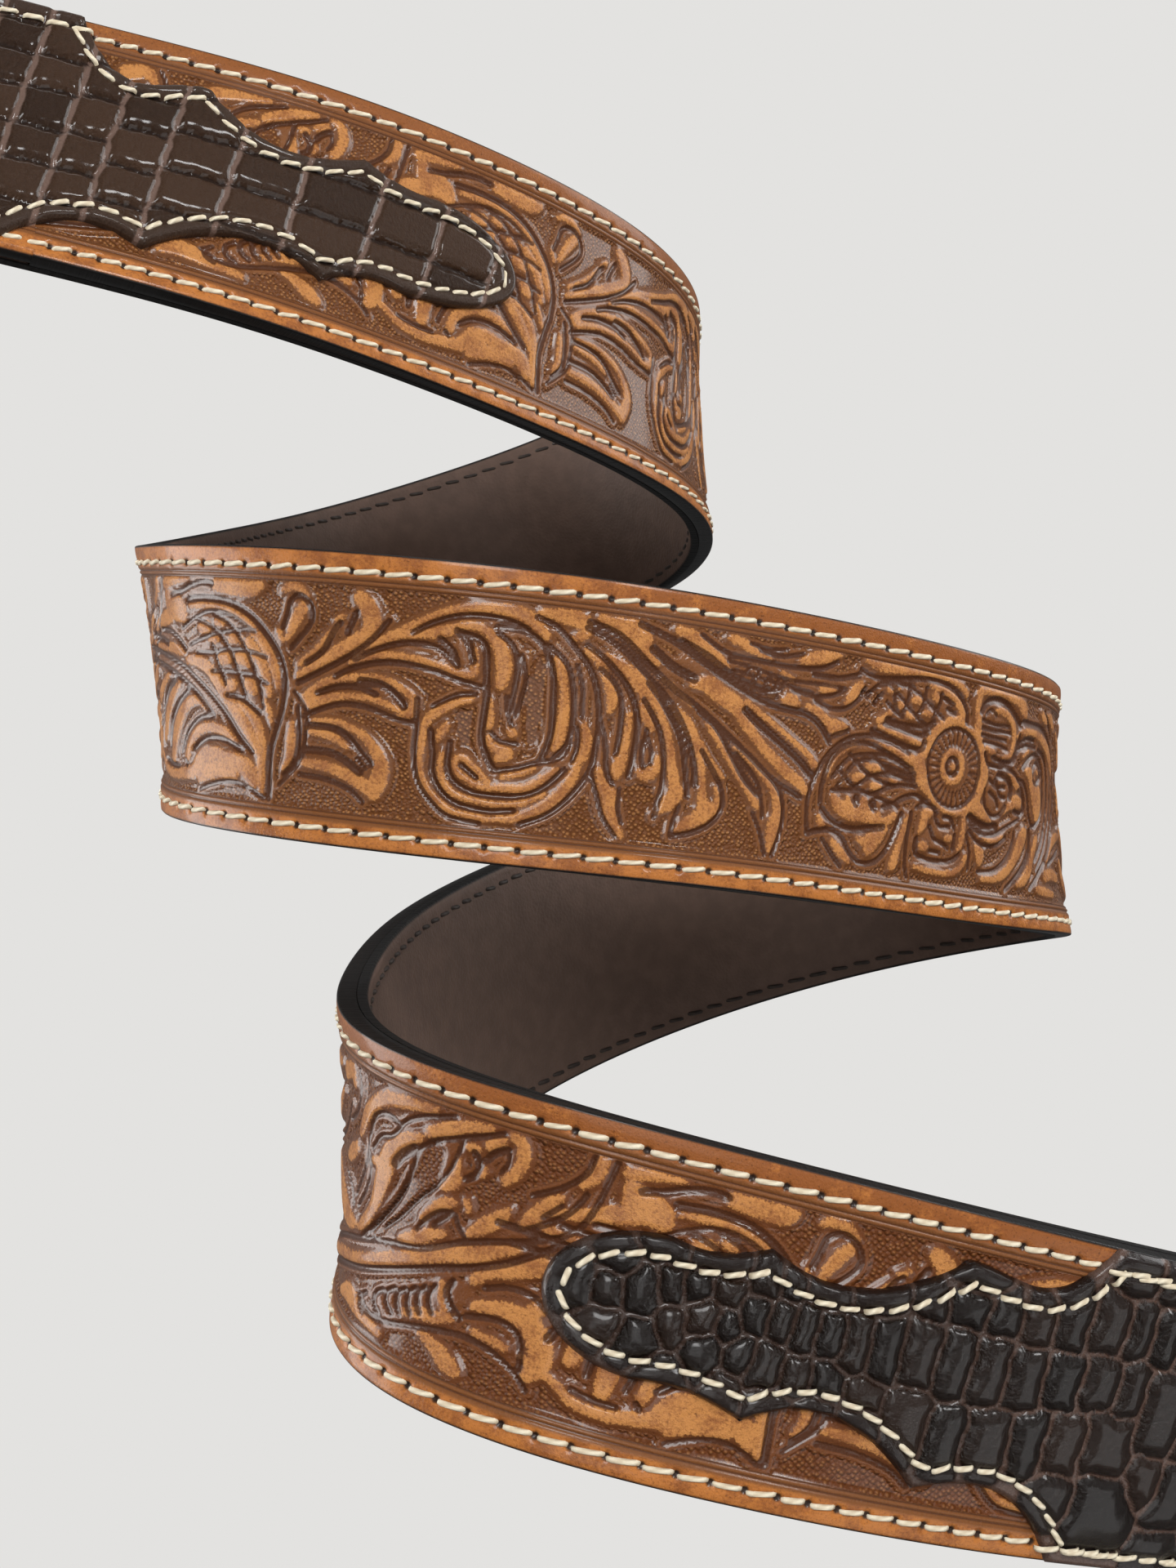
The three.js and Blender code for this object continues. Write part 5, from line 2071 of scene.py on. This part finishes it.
@dataclass(frozen=True)
class Stitches:
    """Rows of stitches, each a short length of thread that dips into the leather at both ends."""

    name: str
    cover: float = 0.88  # Length of a stitch against its pitch
    radius: float = 0.35  # Radius of the thread
    stand: float = 0.12  # How far the thread's middle line stands out of the leather
    dip: float = 0.7  # How far its ends dip
    slant: float = 0.4  # How far across a stitch climbs over its length
    thinning: float = 0.6  # Share of its section that is lost at its ends
    flattening: float = 0.9  # Height of its section against its width
    strays: Numbers = (0.04, 0.05, 0.25)  # How much the length, radius and slant differ, as shares
    rings: int = 8  # Rings of points in a stitch
    sides: int = 6  # Points in a ring

    def thread(self, seam: Seam, face: Face) -> tuple[Array, Array]:
        """Lays a stitch at each place of a seam.

        Its middle line stands out of the leather, less the dip times the eighth power of the share p of half
        its length. Its radius is the whole one times the root of 1 less the thinning times that power.

        Args:
            seam: The places.
            face: The face that they lie on.

        Returns:
            The points in space, as stitches by rings by sides, and each point's map along and round.
        """
        draw = np.random.default_rng(len(seam.station))
        p = np.sin(np.linspace(-math.pi / 2, math.pi / 2, self.rings))[None, :, None]
        turn = (np.arange(self.sides) * 2 * math.pi / self.sides)[None, None, :]
        jitter = draw.normal(0, 1, (3, len(seam.station), 1, 1))
        jitter = jitter * np.reshape(self.strays, (3, 1, 1, 1)) + 1
        length = seam.pitch[:, None, None] * self.cover / 2 * jitter[0]
        radius = self.radius * np.sqrt(1 - self.thinning * p**8) * jitter[1]
        along = p * length
        beside = self.slant / 2 * p * jitter[2] + radius * np.cos(turn)
        out = self.stand - self.dip * p**8 + radius * self.flattening * np.sin(turn)
        angle = seam.heading[:, None, None]
        along, beside, out = np.broadcast_arrays(along, beside, out)
        x = seam.station[:, None, None] + along * np.cos(angle) - beside * np.sin(angle)
        y = seam.across[:, None, None] + along * np.sin(angle) + beside * np.cos(angle)
        points = RUNLINE.point(x, y, face.value * out + seam.level[:, None, None])
        around = np.broadcast_to(turn / (2 * math.pi), points.shape[:-1])
        share = np.broadcast_to((p + 1) / 2, points.shape[:-1])
        return points, np.stack([share, around], axis=-1)

    def build(self, seams: Iterable[Seam], face: Face, thread: Material, slot: str) -> None:
        """Builds all the rows as one mesh.

        Args:
            seams: The rows.
            face: The face that they lie on.
            thread: Their finish.
            slot: The record's slot of the finish.
        """
        rows = [self.thread(seam, face) for seam in seams]
        points = np.concatenate([row[0] for row in rows])
        maps = np.concatenate([row[1] for row in rows])
        count, ring = len(points), self.sides
        one = grid_faces(self.rings, ring, closed=True)
        start, end = np.arange(ring), np.arange(ring)[::-1] + (self.rings - 1) * ring
        if face is Face.FRONT:
            one, start, end = one[:, ::-1], start[::-1], end[::-1]
        offset = (np.arange(count) * self.rings * ring)[:, None, None]
        quads = (one[None] + offset).reshape(-1, 4)
        ends = (np.stack([start, end])[None] + offset).reshape(-1, ring)
        piece = Piece(self.name, points.reshape(-1, 3), [quads, ends])
        flat = maps.reshape(-1, 2)
        piece.map_belt(flat[:, 0], flat[:, 1])
        piece.shade(sharp=70)
        piece.finish(thread, slot)


def edge_seams(level: float) -> list[Seam]:
    """Places of the stitches in both edge rows, at a level of the leather.

    Args:
        level: The leather's level, where no overlay lies on it.

    Returns:
        The upper row and the lower one.
    """
    seams = []
    for side in (1, -1):
        middles, pitch = stitch_middles(side)
        flat = np.full(len(middles), level)
        if level > 0:
            for overlay in (BUCKLE_END, TIP_END):
                corners = overlay.upper if side > 0 else overlay.lower
                full = (middles - overlay.nose) * overlay.towards > corners[-2].back - 1.5
                flat = np.where(full, OVERLAY_FRONT - 0.3, flat)
        across = side * np.minimum(STITCH_ROW, half_width(middles) - 2.3) + STITCH_SHIFT
        seams.append(Seam(middles, across, np.zeros(len(middles)), flat, pitch))
    return seams


def outline_seams() -> list[Seam]:
    """Places of the stitches that follow the overlays' outlines, a seam for each overlay."""
    seams = []
    for overlay in (BUCKLE_END, TIP_END):
        path = overlay.stitch_path()
        lengths = np.concatenate([[0], np.cumsum(np.linalg.norm(np.diff(path, axis=0), axis=1))])
        count = round(lengths[-1] / overlay.pitch)
        pitch = lengths[-1] / count
        at = (np.arange(count) + 0.5) * pitch
        ends = [np.stack([np.interp(at + d, lengths, path[:, k]) for k in (0, 1)]) for d in (-1.1, 1.1)]
        middle, way = (ends[0] + ends[1]) / 2, ends[1] - ends[0]
        level = np.full(count, OVERLAY_FRONT - 0.35)
        seams.append(Seam(middle[0], middle[1], np.arctan2(way[1], way[0]), level, np.full(count, pitch)))
    return seams


@dataclass(frozen=True)
class Studio:
    """The floor, the lights and the camera."""

    camera_place: tuple[float, float, float] = (114.7, -257.6, -91.9)
    lens: float = 48.0
    sensor: float = 36.0
    # Name, place and side of each light, and its power in watts
    lights: tuple[tuple[str, tuple[float, float, float], float, float], ...] = (
        ("key", (60, -760, 280), 300, 5.0), ("glint", (600, -540, 300), 150, 2.1),
        ("low", (640, -460, -570), 480, 1.3), ("fill", (60, -860, -130), 420, 1.2),
        ("left_wall", (-640, 190, -110), 480, 5.2), ("right_wall", (780, 240, 260), 420, 3.1),
        ("top", (0, 250, 700), 420, 1.2),
    )
    floor: float = -450.0
    radius: float = 2600.0  # How far out the backdrop stands
    bend: float = 1200.0  # Radius of its foot
    height: float = 2600.0

    def build(self) -> None:
        """Builds the floor, which curves up into a backdrop, the lights, the world and the camera."""
        self.backdrop()
        for light in self.lights:
            self.light(*light)
        world = bpy.data.worlds.new("studio")
        world.use_nodes = True
        background = world.node_tree.nodes["Background"].inputs
        background["Color"].default_value, background["Strength"].default_value = colour(240, 240, 240), 0.15
        bpy.context.scene.world = world
        bpy.context.scene.view_settings.view_transform = "Standard"
        camera = bpy.data.cameras.new("camera")
        camera.lens, camera.sensor_width = self.lens, self.sensor
        camera.clip_start, camera.clip_end = 0.01, 20.0
        rig = bpy.data.objects.new("camera", camera)
        rig.location = [part * MILLIMETRE for part in self.camera_place]
        rig.rotation_euler = (math.radians(90), 0, 0)
        bpy.context.scene.collection.objects.link(rig)
        bpy.context.scene.camera = rig

    def light(self, name: str, place: tuple[float, float, float], size: float, power: float) -> None:
        """Adds a soft square light that faces the belt.

        Args:
            name: Its name.
            place: Where it hangs, in mm.
            size: Its side, in mm.
            power: Its power in watts.
        """
        lamp = bpy.data.lights.new(name, "AREA")
        lamp.size, lamp.energy = size * MILLIMETRE, power
        rig = bpy.data.objects.new(name, lamp)
        low, high = (np.array(corner) for corner in CAD_BOX)
        rig.location = [part * MILLIMETRE for part in place]
        way = Vector((low + high) / 2 - np.array(rig.location))
        rig.rotation_euler = way.to_track_quat("-Z", "Y").to_euler()
        rig.visible_camera = False
        bpy.context.scene.collection.objects.link(rig)

    def backdrop(self) -> None:
        """Builds the floor and the walls round it as one pale bowl, whose foot is a quarter of a circle."""
        turn, bend = np.linspace(0, math.pi / 2, 16), self.bend
        out = np.concatenate([[0.01], self.radius - bend + bend * np.sin(turn), [self.radius]])
        level = np.concatenate([[self.floor], self.floor + bend - bend * np.cos(turn), [self.height]])
        round_turn = np.arange(64) * math.pi / 32
        way = np.stack([np.cos(round_turn), np.sin(round_turn)], axis=-1)
        flat = out[:, None, None] * way[None]
        points = np.concatenate([flat, np.broadcast_to(level[:, None, None], (*flat.shape[:2], 1))], axis=-1)
        piece = Piece("floor", points.reshape(-1, 3), [grid_faces(len(out), 64, closed=True)[:, ::-1]])
        paper = Nodes("pale_paper").surface(
            Base_Color=(0, 0, 0, 1), Roughness=1.0, Specular_IOR_Level=0.0,
            Emission_Color=colour(227, 226, 224), Emission_Strength=1.0,
        )
        piece.mesh.materials.append(paper)
        piece.object.visible_diffuse = piece.object.visible_glossy = piece.object.visible_shadow = False


def main() -> None:
    """Builds the belt piece by piece, then the studio round it."""
    logging.basicConfig(level=logging.INFO, format="%(name)s: %(message)s")
    Studio().build()
    tooled = TooledLeather().material()
    TooledStrap().build(tooled)
    StrapFold().build(tooled)
    StrapTip().build(tooled)
    Lining().build(LiningLeather().material())
    BUCKLE_END.build(BROWN_REPTILE.material(), "brown_reptile_leather")
    TIP_END.build(BLACK_REPTILE.material(), "black_reptile_leather")
    cream = WaxedThread("cream_thread", colour(238, 228, 203), colour(170, 146, 112)).material()
    dark = WaxedThread("dark_thread", colour(62, 52, 46), colour(38, 32, 28)).material()
    front, back = edge_seams(STRAP_FRONT - 0.1) + outline_seams(), edge_seams(LINING_BACK + 0.1)
    Stitches("front_stitches").build(front, Face.FRONT, cream, "thread")
    Stitches("back_stitches", radius=0.33, stand=0.05).build(back, Face.BACK, dark, "thread")
    steel = BrushedSteel().material()
    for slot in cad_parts["buckle"].material_slots:
        slot.material = steel


if __name__ == "__main__":
    main()
